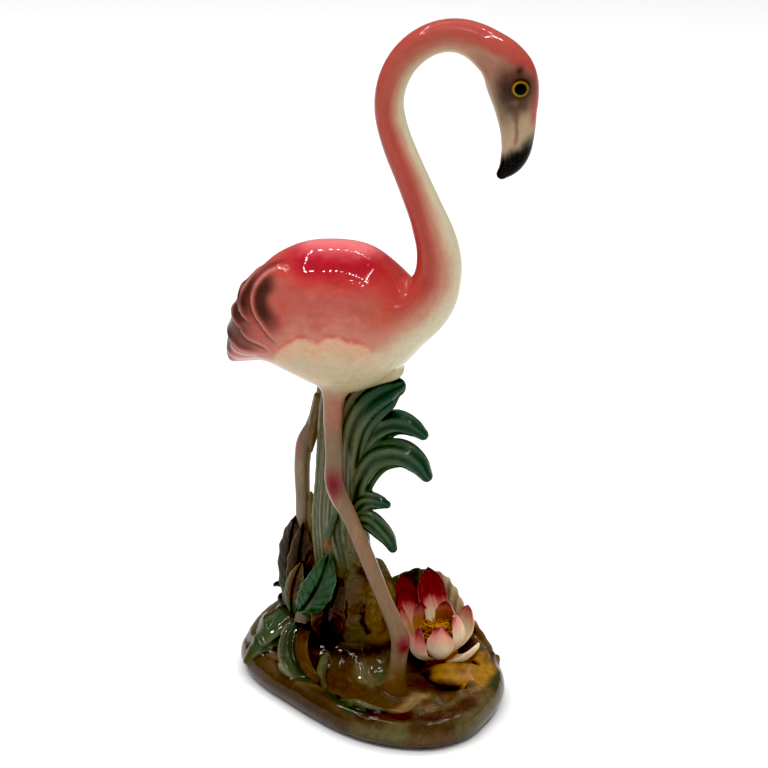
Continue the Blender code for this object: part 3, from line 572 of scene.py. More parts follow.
def birdMesh():
    # Body, neck and legs as one skin, eased where they join, then raised by the relief.
    shells = [trunk(), neck(), leg(nearLeg), leg(farLeg), tube(skirt, 40, 48, flat=0.85)]
    mesh = fusedMesh("bird", shells, bird["voxel"], bird["easing"])
    points = meshPoints(mesh)
    near = np.zeros(len(points))
    joints = [(20, 0, 216, 17), (22, 0, 190, 16), (-14, -8, 168, 13), (-27, 10, 163, 9), (0, -2, 168, 13)]
    for x, y, z, reach in joints:
        away = np.linalg.norm(points - (x, y, z), axis=1) / reach
        near = np.maximum(near, np.clip(1.6 - away, 0, 1))
    points = relaxed(points, meshEdges(mesh), bird["jointEasing"], 0.5 * near[:, None])
    setPoints(mesh, points)
    rump = (points[:, 0] < -25) & (points[:, 2] > 165)
    lift = np.zeros(len(points))
    lift[rump] = featherRelief(points[rump])
    wing = (points[:, 0] > -8) & (points[:, 0] < 30) & (points[:, 2] > 200) & (points[:, 2] < 232)
    lift[wing] = shoulderRelief(points[wing])
    points += meshNormals(mesh) * lift[:, None]
    setPoints(mesh, points)
    return mesh, points


birdTones = {
    "cream": tone(203, 194, 164),
    "belly": tone(192, 172, 142),
    "olive": tone(166, 156, 118),
    "dusty": tone(172, 88, 78),
    "rose": tone(184, 112, 98),
    "red": tone(160, 30, 42),
    "scarlet": tone(188, 60, 54),
    "crest": tone(222, 122, 122),
    "orange": tone(186, 86, 58),
    "peach": tone(214, 150, 118),
    "salmon": tone(158, 66, 58),
    "blush": tone(184, 128, 106),
    "umber": tone(40, 22, 19),
    "rim": tone(208, 140, 130),
    "white": tone(214, 196, 186),
    "mauve": tone(122, 98, 74),
    "magenta": tone(108, 22, 30),
    "stone": tone(120, 108, 90),
    "tan": tone(170, 142, 112),
    "fern": tone(62, 74, 50),
    "black": tone(3, 3, 4),
}

# The airbrushed edge between wing and belly in side view: x and z
wingHem = [
    (-72, 164), (-60, 168), (-52, 171), (-46, 175), (-41, 180), (-36.8, 186), (-33.5, 188.8), (-29.7, 191.5),
    (-24.4, 194.7), (-21.9, 194.6), (-18.5, 193.3), (-15.6, 193.1), (-12.3, 195.3), (-9, 196.3),
    (-5.2, 196.2), (-1.9, 194.8), (0.3, 194.4), (3.7, 194.2), (6.7, 192.9), (8.7, 190.9),
    (15, 192.5), (26, 205),
]
# A scalloped line of deeper red along the wing's top
wingTop = [
    (-40, 213), (-31.7, 216.2), (-27, 218.4), (-20.8, 218.8), (-16.5, 220.7), (-12.9, 221.3),
    (-8.1, 220.8), (-3.6, 221.5), (4, 219),
]


def paintTrunk(points, paint):
    # Cream belly, dusty pink flank, red back, and the feathers' dark bands and pale rims; painted shade low
    # on the belly and at the foot of each feather step, painted highlight along the back's top and on the
    # rims.
    x, y, z = points.T
    t = birdTones
    drift, fine = clouds(points, 9, 11), clouds(points, 2.6, 17)
    lay(paint, t["belly"], np.ones(len(x)))
    lay(paint, t["cream"], ease(2, 28, x + 0.3 * (190 - z)) * 0.9)
    # Painted shade: an olive darkening low on the belly's front, above the fern.
    lay(paint, t["olive"], bell(x - 6, 16) * ease(183, 168, z) * 0.8)

    hemX, hemZ = np.array(wingHem).T
    above = z - np.interp(x, hemX, hemZ) + 0.5 * fine
    soft = np.interp(x, [-44, -33, -6, 6, 20], [4.5, 1.2, 0.9, 2.4, 11])
    pink = ease(-soft, soft, above)
    wing = ease(-40, -34, x) * ease(12, 4, x)
    lay(paint, t["peach"], bell(above + 3.5, 5.0) * wing * 0.5)
    lay(paint, t["peach"], bell(above + 0.9, 1.3) * wing * np.clip(0.45 + 1.2 * drift, 0, 0.8))
    lay(paint, t["rose"], pink * 0.95)
    lay(paint, t["dusty"], ease(3, 17, above + 2.5 * drift))
    lay(paint, t["scarlet"], bell(above - 0.7, 0.9) * wing * np.clip(0.35 + 0.9 * fine, 0, 0.7))
    patch = clouds(points, 5, 19)
    lay(paint, t["scarlet"], pink * ease(0.15, 0.5, patch) * 0.22)
    lay(paint, t["peach"], pink * ease(0.2, 0.5, -patch) * ease(-45, -35, x) * ease(220, 205, z) * 0.22)
    topX, topZ = np.array(wingTop).T
    scallop = z - np.interp(x, topX, topZ) + 0.5 * fine
    lay(paint, t["salmon"], bell(scallop + 0.6, 1.5) * ease(-38, -30, x) * ease(4, -4, x) * 0.55)
    lay(paint, t["rose"], bell(x - 11.5 + 0.35 * (z - 206), 1.1) * bell(z - 208, 6) * 0.45)
    climb = z + 3 * drift + 7 * ease(2, 20, x) - 3 * ease(-24, -36, x)
    lay(paint, t["scarlet"], ease(212, 222, climb) * 0.75)
    lay(paint, t["red"], ease(217, 226, climb) * ease(-46, -30, x) * 0.95)
    # Painted sheen: a lighter pink along the top of the back stands for the reflection of the bright
    # surroundings.
    lay(paint, t["crest"], ease(226.5, 232.5, z + 1.5 * fine) * bell(y - 1, 15) * ease(-44, -28, x) * 0.95)
    lay(paint, t["orange"], bell(np.hypot((x - 18) / 10, (z - 206) / 5.5), 1.0) * 0.6)

    tail = ease(-42, -50, x)
    lay(paint, t["salmon"], tail * ease(192, 206, z + 3 * drift) * 0.6)
    lay(paint, t["umber"], ease(-44, -62, x) * ease(181, 190, z) * (0.62 + 0.2 * drift))
    side = ease(2, 7, np.abs(y))
    for edge, deep in zip(featherEdges, (8.6, 5.6, 4.4, 4.0, 0)):
        away, share, left = nearLine(points[:, [0, 2]], flatLine(edge["line"], 60))
        inner = np.where(left, away, -away)
        ends = ease(0, 0.2, share) * ease(0, 0.15, 1 - share) * side
        if deep:
            band = ease(0.3, 3.2, inner) * ease(deep + 3.0, deep - 3.0, inner)
            band *= ease(0.10, 0.34, share) * ease(0.98, 0.68, share)
            lay(paint, tone(58, 34, 30), band * side * (0.92 + 0.1 * fine))
        # Painted shade: a dark line at the foot of each feather step, outside its edge.
        lay(paint, t["umber"], bell(inner + 1.3, 1.0) * ends * 0.45)
        # Pale rim along each step edge: pale glaze with a painted highlight.
        lay(paint, t["rim"], bell(inner - 0.3, 0.75) * ends * 0.7)
    lay(paint, t["umber"], ease(-61, -67, x) * bell(z - 187, 9) * 0.6)
    lay(paint, t["umber"], ease(-63.5, -69, x) * ease(194, 182, z) * 0.85)
    lay(paint, t["rose"], ease(-46, -56, x) * ease(179, 174.5, z) * 0.5)
    for rim in ([(-69.5, 181), (-67.9, 176.9), (-64.8, 174.4), (-58.6, 175.2), (-52.4, 176.9), (-46, 178.5)],
                [(-66.0, 184), (-63.2, 179.8), (-58.0, 178.6), (-52.0, 179.2), (-46.5, 180.8)]):
        away, share, _ = nearLine(points[:, [0, 2]], flatLine(rim, 50))
        lay(paint, t["white"], bell(away, 0.9) * ease(0, 0.15, share) * ease(0, 0.3, 1 - share) * 0.7)
    corner = ease(174, 164, z + 0.25 * x) * ease(-12, -4, x) * ease(6, -6, y)
    lay(paint, t["olive"], corner * 0.7)
    lay(paint, t["fern"], corner * ease(-4, 6, x + 1.5 * drift) * ease(171, 165, z) * 0.8)


# How the salmon lies on the neck: share of its length, middle of the soft border
# (1 the neck's back, -1 its front) and half the border's width
neckBorder = [
    (0.0, 0.3, 0.9), (0.2, 0.05, 0.85), (0.245, -0.34, 0.7), (0.29, -0.37, 0.7), (0.35, -0.46, 0.66),
    (0.407, -0.62, 0.5), (0.504, -0.70, 0.42), (0.579, -0.74, 0.36), (0.63, -0.66, 0.32), (0.69, -0.5, 0.32),
    (0.75, -0.42, 0.4), (0.8, -0.25, 0.55), (1.0, 0.1, 0.5),
]


def paintNeck(points, paint):
    # Salmon along the neck's back and over the arch, cream inside the curve.
    path, across, back = neckPath()
    x, y, z = points.T
    t = birdTones
    _, share, _ = nearLine(points, path[::2, :3])
    at = np.clip((share * (len(path) - 1)).round().astype(int), 0, len(path) - 1)
    off = points - path[at, :3]
    outer = (off * back[at]).sum(axis=1) / path[at, 3]
    aside = (off * across[at]).sum(axis=1) / path[at, 3]
    length = share * 280
    streaks = clouds(np.column_stack([length * 0.10, outer * 8, aside * 8]), 2.4, 31)
    knots, middles, widths = np.array(neckBorder).T
    border, wide = np.interp(share, knots, middles), np.interp(share, knots, widths)
    amount = np.clip(0.5 + 0.5 * (outer + 0.10 * streaks - border) / wide, 0, 1)
    neckPaint = np.tile(t["cream"], (len(x), 1))
    lay(neckPaint, t["tan"], ease(0.2, 0.9, -streaks) * 0.22)
    arch = ease(0.55, 0.66, share) * ease(0.86, 0.78, share)
    lay(neckPaint, t["tan"], arch * ease(0.2, -0.6, outer) * 0.75)
    lay(neckPaint, t["blush"], ease(0.0, 0.45, amount) * 0.8)
    lay(neckPaint, t["salmon"], ease(0.2, 0.95, amount))
    lay(neckPaint, t["scarlet"], ease(0.0, 0.8, outer) * ease(0.42, 0.2, share) * 0.5)
    lay(neckPaint, t["scarlet"], ease(0.3, 1.0, outer) * ease(0.5, 0.65, share) * 0.3)
    lay(neckPaint, t["peach"], bell(outer - 0.2, 0.5) * ease(0.35, 0.5, share) * 0.12)
    lay(neckPaint, t["tan"], ease(0.5, 0.62, share) * ease(0.3, -0.5, outer) * 0.3)
    lay(neckPaint, t["blush"], np.clip(streaks, 0, 1) * amount * 0.25)
    mix = ease(0.03, 0.17, share) * ease(10, 26, x + (z - 196) * 0.35)
    mix = np.where((z > 232) & (x > 4), 1.0, mix)
    paint += (neckPaint - paint) * mix[:, None]
    flow = np.column_stack([length * 0.06, outer * path[at, 3] * 0.9, aside * path[at, 3] * 0.9])
    return flow, mix


def paintHead(points, paint):
    # Brown airbrushing round the eye, a tan bill with a dark seam, and a black tip.
    t = birdTones
    x, y, z = points.T
    f = (points - eyeMiddle) @ headForward
    h = z - eyeMiddle[2]
    side = np.abs((points - eyeMiddle) @ headSideways)
    drift, fine = clouds(points, 5, 41), clouds(points, 1.2, 43)
    there = ease(42, 52, x) * (z > 262)
    cheek = there * ease(1.5, 5, side)
    face = ease(7.5, 4.0, f - 0.05 * h) * ease(11, 5, h + 0.5 * f + 1.2 * drift)
    lay(paint, t["tan"], there * face)
    lay(paint, tone(152, 104, 86), there * face * ease(-8, 6, h) * 0.9)
    lay(paint, t["cream"], there * bell(f + 0.18 * h + 13, 3.0) * ease(8, -4, h) * 0.35)
    lay(paint, t["dusty"], cheek * bell(f - 7.0, 2.2) * ease(-17, -8, h) * 0.6)
    lay(paint, tone(172, 148, 120), there * ease(-13, -20, h) * 0.8)
    jaw = bell(np.hypot((f + 7.5) / 4.5, (h + 14) / 5.5), 1.0)
    lay(paint, tone(112, 100, 82), cheek * jaw * (0.55 + 0.25 * fine))
    lay(paint, t["umber"], cheek * bell(np.hypot((f + 6.0) / 6.0, (h + 1.5) / 10.5) ** 1.4, 1.0)
        * (0.76 + 0.12 * drift + 0.14 * fine))
    lay(paint, t["umber"], cheek * bell(np.hypot(f + 0.6, h - 7.9), 1.9) * 0.85)
    lay(paint, t["umber"], cheek * bell(np.hypot((f - 0.2) / 6.4, (h + 0.2) / 6.8) ** 1.3, 1.0) * 0.95)
    below = bell(np.hypot((f - 0.8) / 4.2, (h + 7.8) / 3.6), 1.0)
    lay(paint, t["umber"], cheek * below * (0.6 + 0.2 * fine))
    lay(paint, tone(150, 112, 66), cheek * bell(np.hypot((f + 2.2) / 1.6, (h + 6.6) / 1.6), 1.0) * 0.5)
    seam = bell(f + 1.4 + 0.4 * fine + 0.012 * (h + 20) ** 2, 0.75 + 1.9 * ease(-17, -9, h))
    lay(paint, tone(72, 44, 34), cheek * seam * ease(-6, -11, h) * ease(-31, -22, h) * (0.62 + 0.25 * fine))
    hairs = clouds(np.column_stack([f * 2.2, side * 2.2, h * 0.3]), 2.0, 47)
    tip = ease(4.4, -2.2, h + 29.4 - 0.57 * f + 0.6 * drift + 1.8 * hairs)
    lay(paint, tone(66, 72, 56), there * bell(h + 26.5 - 0.57 * f, 2.2) * ease(-1, 4, f) * 0.6)
    lay(paint, t["black"], there * tip)


def paintLegs(points, paint):
    # Mauve and cream legs with magenta at the knee and the ankle, painted shade on the far thigh under the
    # belly and a painted highlight down the near leg's outer edge.
    x, y, z = points.T
    t = birdTones
    drift, fine = clouds(points * (1, 1, 0.25), 4, 53), clouds(points * (1, 1, 0.3), 1.6, 55)
    low = ease(172, 158, z) * np.maximum(ease(-4, -9, x), ease(158, 152, z))
    legPaint = np.tile(t["mauve"], (len(x), 1))
    near = y < 2
    lay(legPaint, t["stone"], ~near * 0.85 + near * bell(z - 128, 26) * 0.35)
    lay(legPaint, t["tan"], ease(0.1, 0.8, drift) * 0.35)
    lay(legPaint, t["blush"], near * bell(z - 160, 12) * 0.55)
    lay(legPaint, t["dusty"], near * bell(z - 152, 9) * bell(x + 13, 3) * 0.4)
    lay(legPaint, tone(74, 50, 38), ease(0.3, 0.9, fine) * 0.3)
    lay(legPaint, t["magenta"], near * bell(np.hypot((z - 117.5) / 7, (x + 14.5) / 4.4), 1) * 0.95)
    lay(legPaint, t["magenta"], near * bell(np.hypot((z - 38) / 4.4, (x - 20.5) / 3.2), 1) * 0.95)
    lay(legPaint, t["blush"], near * bell(z - 84, 24) * 0.12)
    lay(legPaint, tone(104, 74, 40), near * ease(32, 18, z) * 0.85)
    # Painted shade: dark on the far thigh just under the belly.
    lay(legPaint, t["umber"], ~near * bell(np.hypot((z - 152) / 14, (x + 25) / 5), 1) * 0.6)
    lay(legPaint, t["salmon"], ~near * bell(np.hypot((z - 126) / 6, (x + 43) / 3.4), 1) * 0.5)
    lay(legPaint, tone(96, 76, 34), ~near * bell(x + 36.5, 1.8) * bell(z - 110, 18) * 0.75)
    # Painted highlight: a pale strip down the near leg's outer (-x) edge.
    highlightSide = near * ease(160, 150, z) * ease(84, 96, z)
    edge = bell((x - np.interp(z, [103, 117, 149, 163], [-13.2, -19.6, -20.3, -20.5])), 0.8)
    lay(legPaint, t["white"], highlightSide * edge * 0.7)
    paint += (legPaint - paint) * low[:, None]
    return low


def makeBird(material):
    # Paints trunk, neck, head and legs in turn; the streaks run along neck and legs.
    mesh, points = birdMesh()
    paint = np.zeros((len(points), 3))
    paintTrunk(points, paint)
    neckFlow, onNeck = paintNeck(points, paint)
    paintHead(points, paint)
    onLeg = paintLegs(points, paint)
    trunkFlow = points * (0.16, 0.55, 0.55)
    flow = trunkFlow * (1 - onNeck[:, None]) + neckFlow * onNeck[:, None]
    flow = flow * (1 - onLeg[:, None]) + points * (0.8, 0.8, 0.1) * onLeg[:, None]
    keepPaint(mesh, relaxed(paint, meshEdges(mesh), 1), flow)
    return finishedPiece("bird", mesh, material)


eyes = {"rimRadius": 4.4, "pupilRadius": 2.7, "ringRadius": 4.15, "proud": 1.15, "sits": 9.8}


def makeEyes(material):
    # Low domes on the cheek: rings whose rise falls with the square of their radius, over a
    # surface that slopes back towards the bill and curves away forwards.
    turn = np.linspace(0, 2 * math.pi, 64, endpoint=False)
    radius = eyes["rimRadius"] * np.sin(np.linspace(0.01, math.pi / 2, 26))
    rise = 0.15 + eyes["proud"] * (1 - (radius / eyes["rimRadius"]) ** 2)
    radius = np.concatenate([radius, [eyes["rimRadius"], eyes["rimRadius"] * 0.9, 0.05]])
    rise = np.concatenate([rise, [-2.0, -4.0, -4.2]])
    ahead, up = radius[:, None] * np.cos(turn), radius[:, None] * np.sin(turn)
    out = eyes["sits"] - 0.20 * ahead + 0.13 * up - 0.043 * ahead**2 + rise[:, None]
    shells = []
    for side in (-1, 1):
        grid = eyeMiddle + side * out[..., None] * headSideways
        shells.append({"grid": grid + ahead[..., None] * headForward + up[..., None] * np.array([0, 0, 1])})
    points, faces = joinedShells(shells)
    mesh = newMesh("eyes", points, faces)
    outwardFaces(mesh)
    f = (points - eyeMiddle) @ headForward
    h = points[:, 2] - eyeMiddle[2]
    r = np.hypot(f, h)
    paint = np.tile(tone(148, 114, 16), (len(r), 1))
    lay(paint, tone(104, 74, 14), ease(-0.5, 3.5, f) * 0.6)
    lay(paint, tone(74, 46, 14), ease(2.6, 4.4, np.abs(h)) * 0.7)
    lay(paint, tone(34, 20, 10), ease(eyes["ringRadius"] - 0.9, eyes["ringRadius"] + 0.1, r) * 0.95)
    lay(paint, tone(3, 3, 4), ease(eyes["pupilRadius"] + 0.25, eyes["pupilRadius"] - 0.25, r))
    keepPaint(mesh, paint, points * 0.5)
    return finishedPiece("eyes", mesh, material)


# Fern behind the legs

fern = {"voxel": 0.56, "easing": 2, "ribs": 7, "ribDepth": 0.10}

fernTones = {
    "green": tone(50, 72, 50),
    "deep": tone(24, 38, 24),
    "tip": tone(26, 60, 46),
    "sage": tone(98, 108, 82),
    "moss": tone(78, 82, 54),
    "mauve": tone(96, 84, 62),
    "cream": tone(146, 144, 116),
    "ochre": tone(112, 80, 38),
    "orange": tone(124, 74, 30),
}

# Each frond: x, y, z, radius from its foot to its tip; curls are green, stems pale
fronds = [
    {"kind": "curl", "path": [
        (-17, 14, 48, 5), (-14.5, 7, 80, 5), (-13, 4, 110, 5.6), (-10.5, 1, 132, 6.8), (-5, -1, 149, 8.0),
        (2, 0, 158.6, 8.6), (8, 2, 163, 7.2), (11.4, 3, 164.6, 4.4)]},
    {"kind": "curl", "path": [
        (-12, 15, 46, 5), (-10.5, 8, 75, 5), (-9.5, 5, 103, 5.4), (-7.5, 5, 126, 6.0), (1.1, 5, 141, 6.6),
        (11.5, 5, 146, 5.8), (19.8, 5, 143.8, 4.1), (23.8, 5, 141.2, 2.8)]},
    {"kind": "curl", "path": [
        (-8, 15, 46, 4.6), (-8.5, 8, 75, 4.6), (-8.5, 4, 100, 5.0), (-5.5, 3, 116, 6.2),
        (3.9, 3, 128.8, 7.2), (15, 3, 131, 6.4), (22.5, 3, 126.5, 5.0), (26.3, 3, 121.4, 3.2)]},
    {"kind": "curl", "path": [
        (-9, 3, 84, 4.4), (-8, 1, 98, 4.8), (-2, 0, 105.5, 4.6), (4.5, 0, 105.6, 3.2), (7.6, 0, 105.0, 2.0)]},
    {"kind": "curl", "path": [
        (-10, 2, 80, 4.2), (-7, -1, 94, 4.4), (-1.5, -2, 96.5, 4.8), (4.5, -2, 92.5, 4.6),
        (9.2, -2, 87.6, 3.6), (11.2, -2, 83.6, 2.4)]},
    {"kind": "stem", "path": [
        (-12, -2, 92, 3.0), (-13.1, -4, 106.4, 3.4), (-13.6, -4, 126.5, 3.8), (-12.6, -3, 141.5, 4.4),
        (-9, -2, 155, 5.0), (-3, 0, 164.3, 6.0)]},
    {"kind": "stem", "path": [
        (-20, 13, 46, 4.2), (-19, 8, 80, 4.2), (-19, 6, 120, 4.4), (-19, 5, 150, 5.2), (-16, 3, 168, 6.0)]},
    {"kind": "strand", "path": [
        (-29, 13, 46, 3.4), (-30, 7, 67, 3.0), (-30.6, 4, 89.6, 2.4), (-29, 4, 111, 2.0),
        (-27.4, 4, 132, 2.2), (-25, 5, 150, 3.4), (-21, 6, 164, 5.0)]},
    {"kind": "strand", "path": [
        (-24, 13, 46, 3.8), (-25.3, 6, 68.4, 3.4), (-26.5, 3, 90.6, 2.7), (-25.2, 3, 112, 2.5),
        (-23.4, 3, 138, 2.5), (-22, 4, 156, 3.5)]},
    {"kind": "strand", "path": [
        (-18.5, 13, 46, 4.4), (-20.1, 6, 67.6, 3.9), (-22, 2, 86.4, 3.2), (-21.3, 2, 102.4, 2.9),
        (-19.9, 1, 118.6, 2.9), (-19, 2, 142, 3.4)]},
    {"kind": "stem", "path": [
        (-15, 15, 46, 6.0), (-16, 9, 68.6, 5.9), (-17.5, 5, 91.2, 4.9), (-16, 4, 112.8, 4.6),
        (-16, 4, 150, 5)]},
    {"kind": "bud", "path": [
        (-15.5, -1, 103, 1.2), (-19.4, -0.5, 94, 1.8), (-22.4, 0, 85, 2.0), (-23.8, 1, 77.5, 1.3)]},
    {"kind": "web", "path": [
        (-30, 9, 152, 3.0), (-33, 10, 140, 3.0), (-34.8, 10, 130, 2.6), (-35.4, 10, 123, 1.0)]},
    {"kind": "web", "path": [
        (-35.6, 10, 101, 0.9), (-35.3, 10, 94, 2.4), (-35, 10, 78, 3.4), (-35, 10, 60, 4.0),
        (-35, 10, 42, 5.0)]},
]


def roundLimb(points, path, side):
    # For each point near a limb: share of its length, distance as a share of the limb's
    # radius, and the angle round it.
    _, share, _ = nearLine(points, path[:, :3])
    _, across, up = pathFrames(path[:, :3], np.array(side, float))
    at = np.clip((share * (len(path) - 1)).round().astype(int), 0, len(path) - 1)
    off = points - path[at, :3]
    turn = np.arctan2((off * up[at]).sum(axis=1), (off * across[at]).sum(axis=1))
    return share, np.linalg.norm(off, axis=1) / path[at, 3], turn


def paintFrond(kind, points, share, turn, seed):
    # Glaze pools dark in the grooves and wears pale on the crests.
    t = fernTones
    crest = np.cos(fern["ribs"] * turn)
    drift = clouds(points, 7, seed)
    stroke = clouds(np.column_stack([share * 7, np.cos(turn) * 3, np.sin(turn) * 3]), 1.3, seed + 30)
    paint = np.tile(t["mauve"], (len(points), 1))
    if kind == "curl":
        green = ease(-8, 3, points[:, 0] + 3 * drift)
        lay(paint, t["moss"], ease(0.25, 0.5, share + 0.1 * stroke) * 0.7)
        lay(paint, t["sage"], ease(0.3, 0.9, crest + 0.4 * stroke) * ease(0.2, 0.45, share) * 0.6)
        lay(paint, t["deep"], ease(0.2, 1.0, -crest - 0.4 * stroke) * 0.2)
        lay(paint, t["green"], green * (0.8 + 0.2 * stroke))
        lay(paint, t["tip"], ease(0.8, 0.97, share + 0.04 * drift) * 0.85)
        lay(paint, t["deep"], ease(0.25, 0.7, share) * ease(0.2, 0.95, 0.5 * stroke - crest) * 0.8)
        lay(paint, t["sage"], ease(0.45, 1.0, crest + 0.3 * stroke) * green * 0.42)
        lay(paint, t["moss"], np.clip(drift, 0, 1) * green * ease(1.0, 0.8, share) * 0.7)
    elif kind == "web":
        lay(paint, t["ochre"], np.full(len(points), 0.45))
        lay(paint, t["deep"], ease(0.0, 0.8, stroke) * 0.6)
    elif kind == "bud":
        lay(paint, t["green"], ease(0.0, 0.3, share) * 0.7)
        lay(paint, t["sage"], ease(0.4, 1.0, crest) * 0.6)
        lay(paint, t["orange"], ease(0.72, 0.9, share) * 0.8)
    else:
        pale = 0.75 if kind == "strand" else 0.25
        lay(paint, t["sage"], 0.5 + 0.4 * drift)
        lay(paint, t["green"], ease(0.2, 0.9, stroke - 0.5 * crest) * 0.6)
        lay(paint, t["deep"], ease(0.2, 1.0, -crest - stroke) * ease(0.95, 0.6, share) * 0.6)
        lay(paint, t["cream"], ease(0.55, 1.0, crest + 0.35 * stroke) * pale * 0.75)
        lay(paint, t["mauve"], ease(0.55, 0.9, share) * 0.55)
    lay(paint, t["moss"], ease(84, 66, points[:, 2] + 6 * drift) * 0.6)
    lay(paint, t["ochre"], ease(76, 56, points[:, 2] + 10 * drift) * 0.7)
    return paint


def makeFern(material):
    # Ribbed limbs fused into one skin; each point takes the glaze of the limb it lies on.
    ribbed = {"flat": 0.95, "ribs": fern["ribs"], "rib": fern["ribDepth"]}
    shells = [tube(frond["path"], 90, 44, **ribbed) for frond in fronds]
    mesh = fusedMesh("fern", shells, fern["voxel"], fern["easing"])
    points = meshPoints(mesh)
    paint, flow = np.zeros((len(points), 3)), np.zeros((len(points), 3))
    nearest = np.full(len(points), np.inf)
    for index, frond in enumerate(fronds):
        path = smoothLine(frond["path"], 70)
        share, away, turn = roundLimb(points, path, (0, 1, 0))
        own = away < nearest
        nearest[own] = away[own]
        paint[own] = paintFrond(frond["kind"], points[own], share[own], turn[own], 61 + index)
        alongLimb = np.column_stack([share * 7, np.cos(turn) * 3, np.sin(turn) * 3])
        flow[own] = alongLimb[own] + index * 5
    t = fernTones
    # Painted shade: darker in the fused clay between the fronds, away from every limb's middle.
    lay(paint, t["deep"], ease(0.95, 1.5, nearest) * 0.5)
    lay(paint, t["orange"], bell(np.linalg.norm(points - (-23.8, 1, 78), axis=1), 3.0) * 0.6)
    keepPaint(mesh, relaxed(paint, meshEdges(mesh), 2), flow)
    return finishedPiece("fern", mesh, material)


# Upright leaves round the foot of the far leg

leafTones = {
    "wine": tone(44, 30, 20),
    "brown": tone(84, 52, 28),
    "green": tone(46, 76, 48),
    "dark": tone(14, 16, 9),
    "pale": tone(112, 116, 86),
    "rust": tone(50, 26, 15),
    "olive": tone(66, 62, 38),
}

leaves = [
    {"path": [(-49, 13, 36), (-48.5, 13, 52), (-46.5, 12, 70), (-43.2, 10, 87.5)],
     "width": 15, "face": (-0.3, -1, 0.1), "middle": "wine", "edge": "olive", "root": "green"},
    {"path": [(-46, 10, 38), (-42.5, 8, 52), (-39.5, 6, 70), (-38, 6, 86)],
     "width": 13, "face": (0.2, -1, 0.2), "middle": "wine", "edge": "brown", "root": "dark"},
    {"path": [(-43.5, 4, 38), (-43, 3, 47), (-41, 3, 57), (-38.5, 4, 65.5)],
     "width": 9.5, "face": (0.0, -1, 0.15), "middle": "brown", "edge": "pale", "root": "green"},
    {"path": [(-39, 3, 39), (-31, -2, 50), (-25, -3, 62), (-22.5, -1, 74.5)],
     "width": 16, "face": (0.3, -1, 0.25), "middle": "green", "edge": "green", "root": "green"},
    {"path": [(-19, 4, 60), (-23, 2, 46), (-25.5, 4, 32), (-26.5, 8, 22.5)],
     "width": 17, "face": (0.25, -1, 0.2), "middle": "rust", "edge": "brown", "root": "rust"},
]


def leafVeins(share, reach):  # 0 on a side vein's groove, 1 between; spaced a little unevenly
    slant = share * 15 - np.abs(reach) * 2.6 + 0.25 * np.sin(share * 31 + 2 * np.sign(reach))
    return np.abs(np.sin(slant * math.pi / 2))


def leafRelief(share, reach):
    # A groove down the midrib, a bell across it, and side veins that slant forward from it.
    vein = leafVeins(share, reach) ** 0.35
    return 0.32 * vein * ease(0.05, 0.25, np.abs(reach)) * ease(0, 0.1, 1 - share) - 1.1 * bell(reach, 0.14)


def makeLeaves(material):
    # Thin blades, narrow at the root, widest near the middle and pointed at the tip.
    t = leafTones
    shells, paints, flows = [], [], []
    for index, leaf in enumerate(leaves):
        path = smoothLine(leaf["path"], 90)
        share = np.linspace(0, 1, 90)
        width = np.interp(share, [0, 0.22, 0.45, 0.62, 0.8, 0.93, 1], [0.4, 0.8, 1.0, 0.98, 0.74, 0.4, 0.1])
        half = width * leaf["width"] / 2 * (1 + 0.04 * np.sin(share * 33 + index))
        shell = blade(path, half, leaf["face"], 4.0, 0.14, leafRelief, 72)
        shells.append(shell)
        points = shell["grid"].reshape(-1, 3)
        s, r = shell["share"].ravel(), shell["reach"].ravel()
        vein = leafVeins(s, r)
        drift = clouds(points, 6, 81 + index)
        paint = np.tile(t[leaf["middle"]], (len(points), 1))
        lay(paint, t[leaf["edge"]], ease(0.45, 0.95, np.abs(r) + 0.3 * drift) * 0.8)
        lay(paint, t[leaf["root"]], ease(0.5, 0.1, s + 0.1 * drift) * 0.75)
        lay(paint, t["dark"], ease(0.3, 0.05, vein) * 0.5)
        lay(paint, t["dark"], bell(r, 0.2) * 0.6)
        lay(paint, t["dark"], ease(0.0, 0.8, drift) * 0.5)
        rim = ease(0.88, 0.97, np.abs(r)) * (0.45 + 0.3 * drift)
        lay(paint, t["pale"], rim + bell(r - 0.07, 0.03) * 0.4)
        paints.append(paint)
        flows.append(np.column_stack([s * 5, r * 5, np.sin(shell["turn"].ravel())]) + index * 7)
    points, faces = joinedShells(shells)
    mesh = newMesh("leaves", points, faces)
    outwardFaces(mesh)
    keepPaint(mesh, np.vstack(paints), np.vstack(flows))
    return finishedPiece("leaves", mesh, material)


# The base with its pools, rock and spilling leaves

base = {
    "length": 142.0,
    "depth": 106.0,
    "wall": 15.0,
    "tuck": 5.0,
    "rim": 7.5,
    "poolDepth": 5.0,
    "below": 4.0,
    "voxel": 0.76,
    "easing": 3,
}

# Middle x, y, rise, reach along x and y
heaps = [
    (-15, 22, 34, 17, 15), (-4, 30, 26, 11, 14), (-32, 26, 18, 18, 18), (-50, 20, 22, 15, 17),
    (-60, 10, 6, 14, 14), (28, 26, 5, 18, 14), (40, 38, 9, 14, 12), (14, -9, 2.2, 9, 9),
    (10, 42, 12, 22, 13), (50, 26, 5, 9, 9), (-10, -2, 4, 12, 12), (33, -32, 2.0, 5, 4), (50, -2, 3.5, 8, 12),
]
hollows = [(-54, -2, 5, 6, 8), (5, -22, 1.5, 18, 7), (40.4, -9, 3.5, 7, 5), (49.7, -3.8, 4, 2.6, 2.6)]

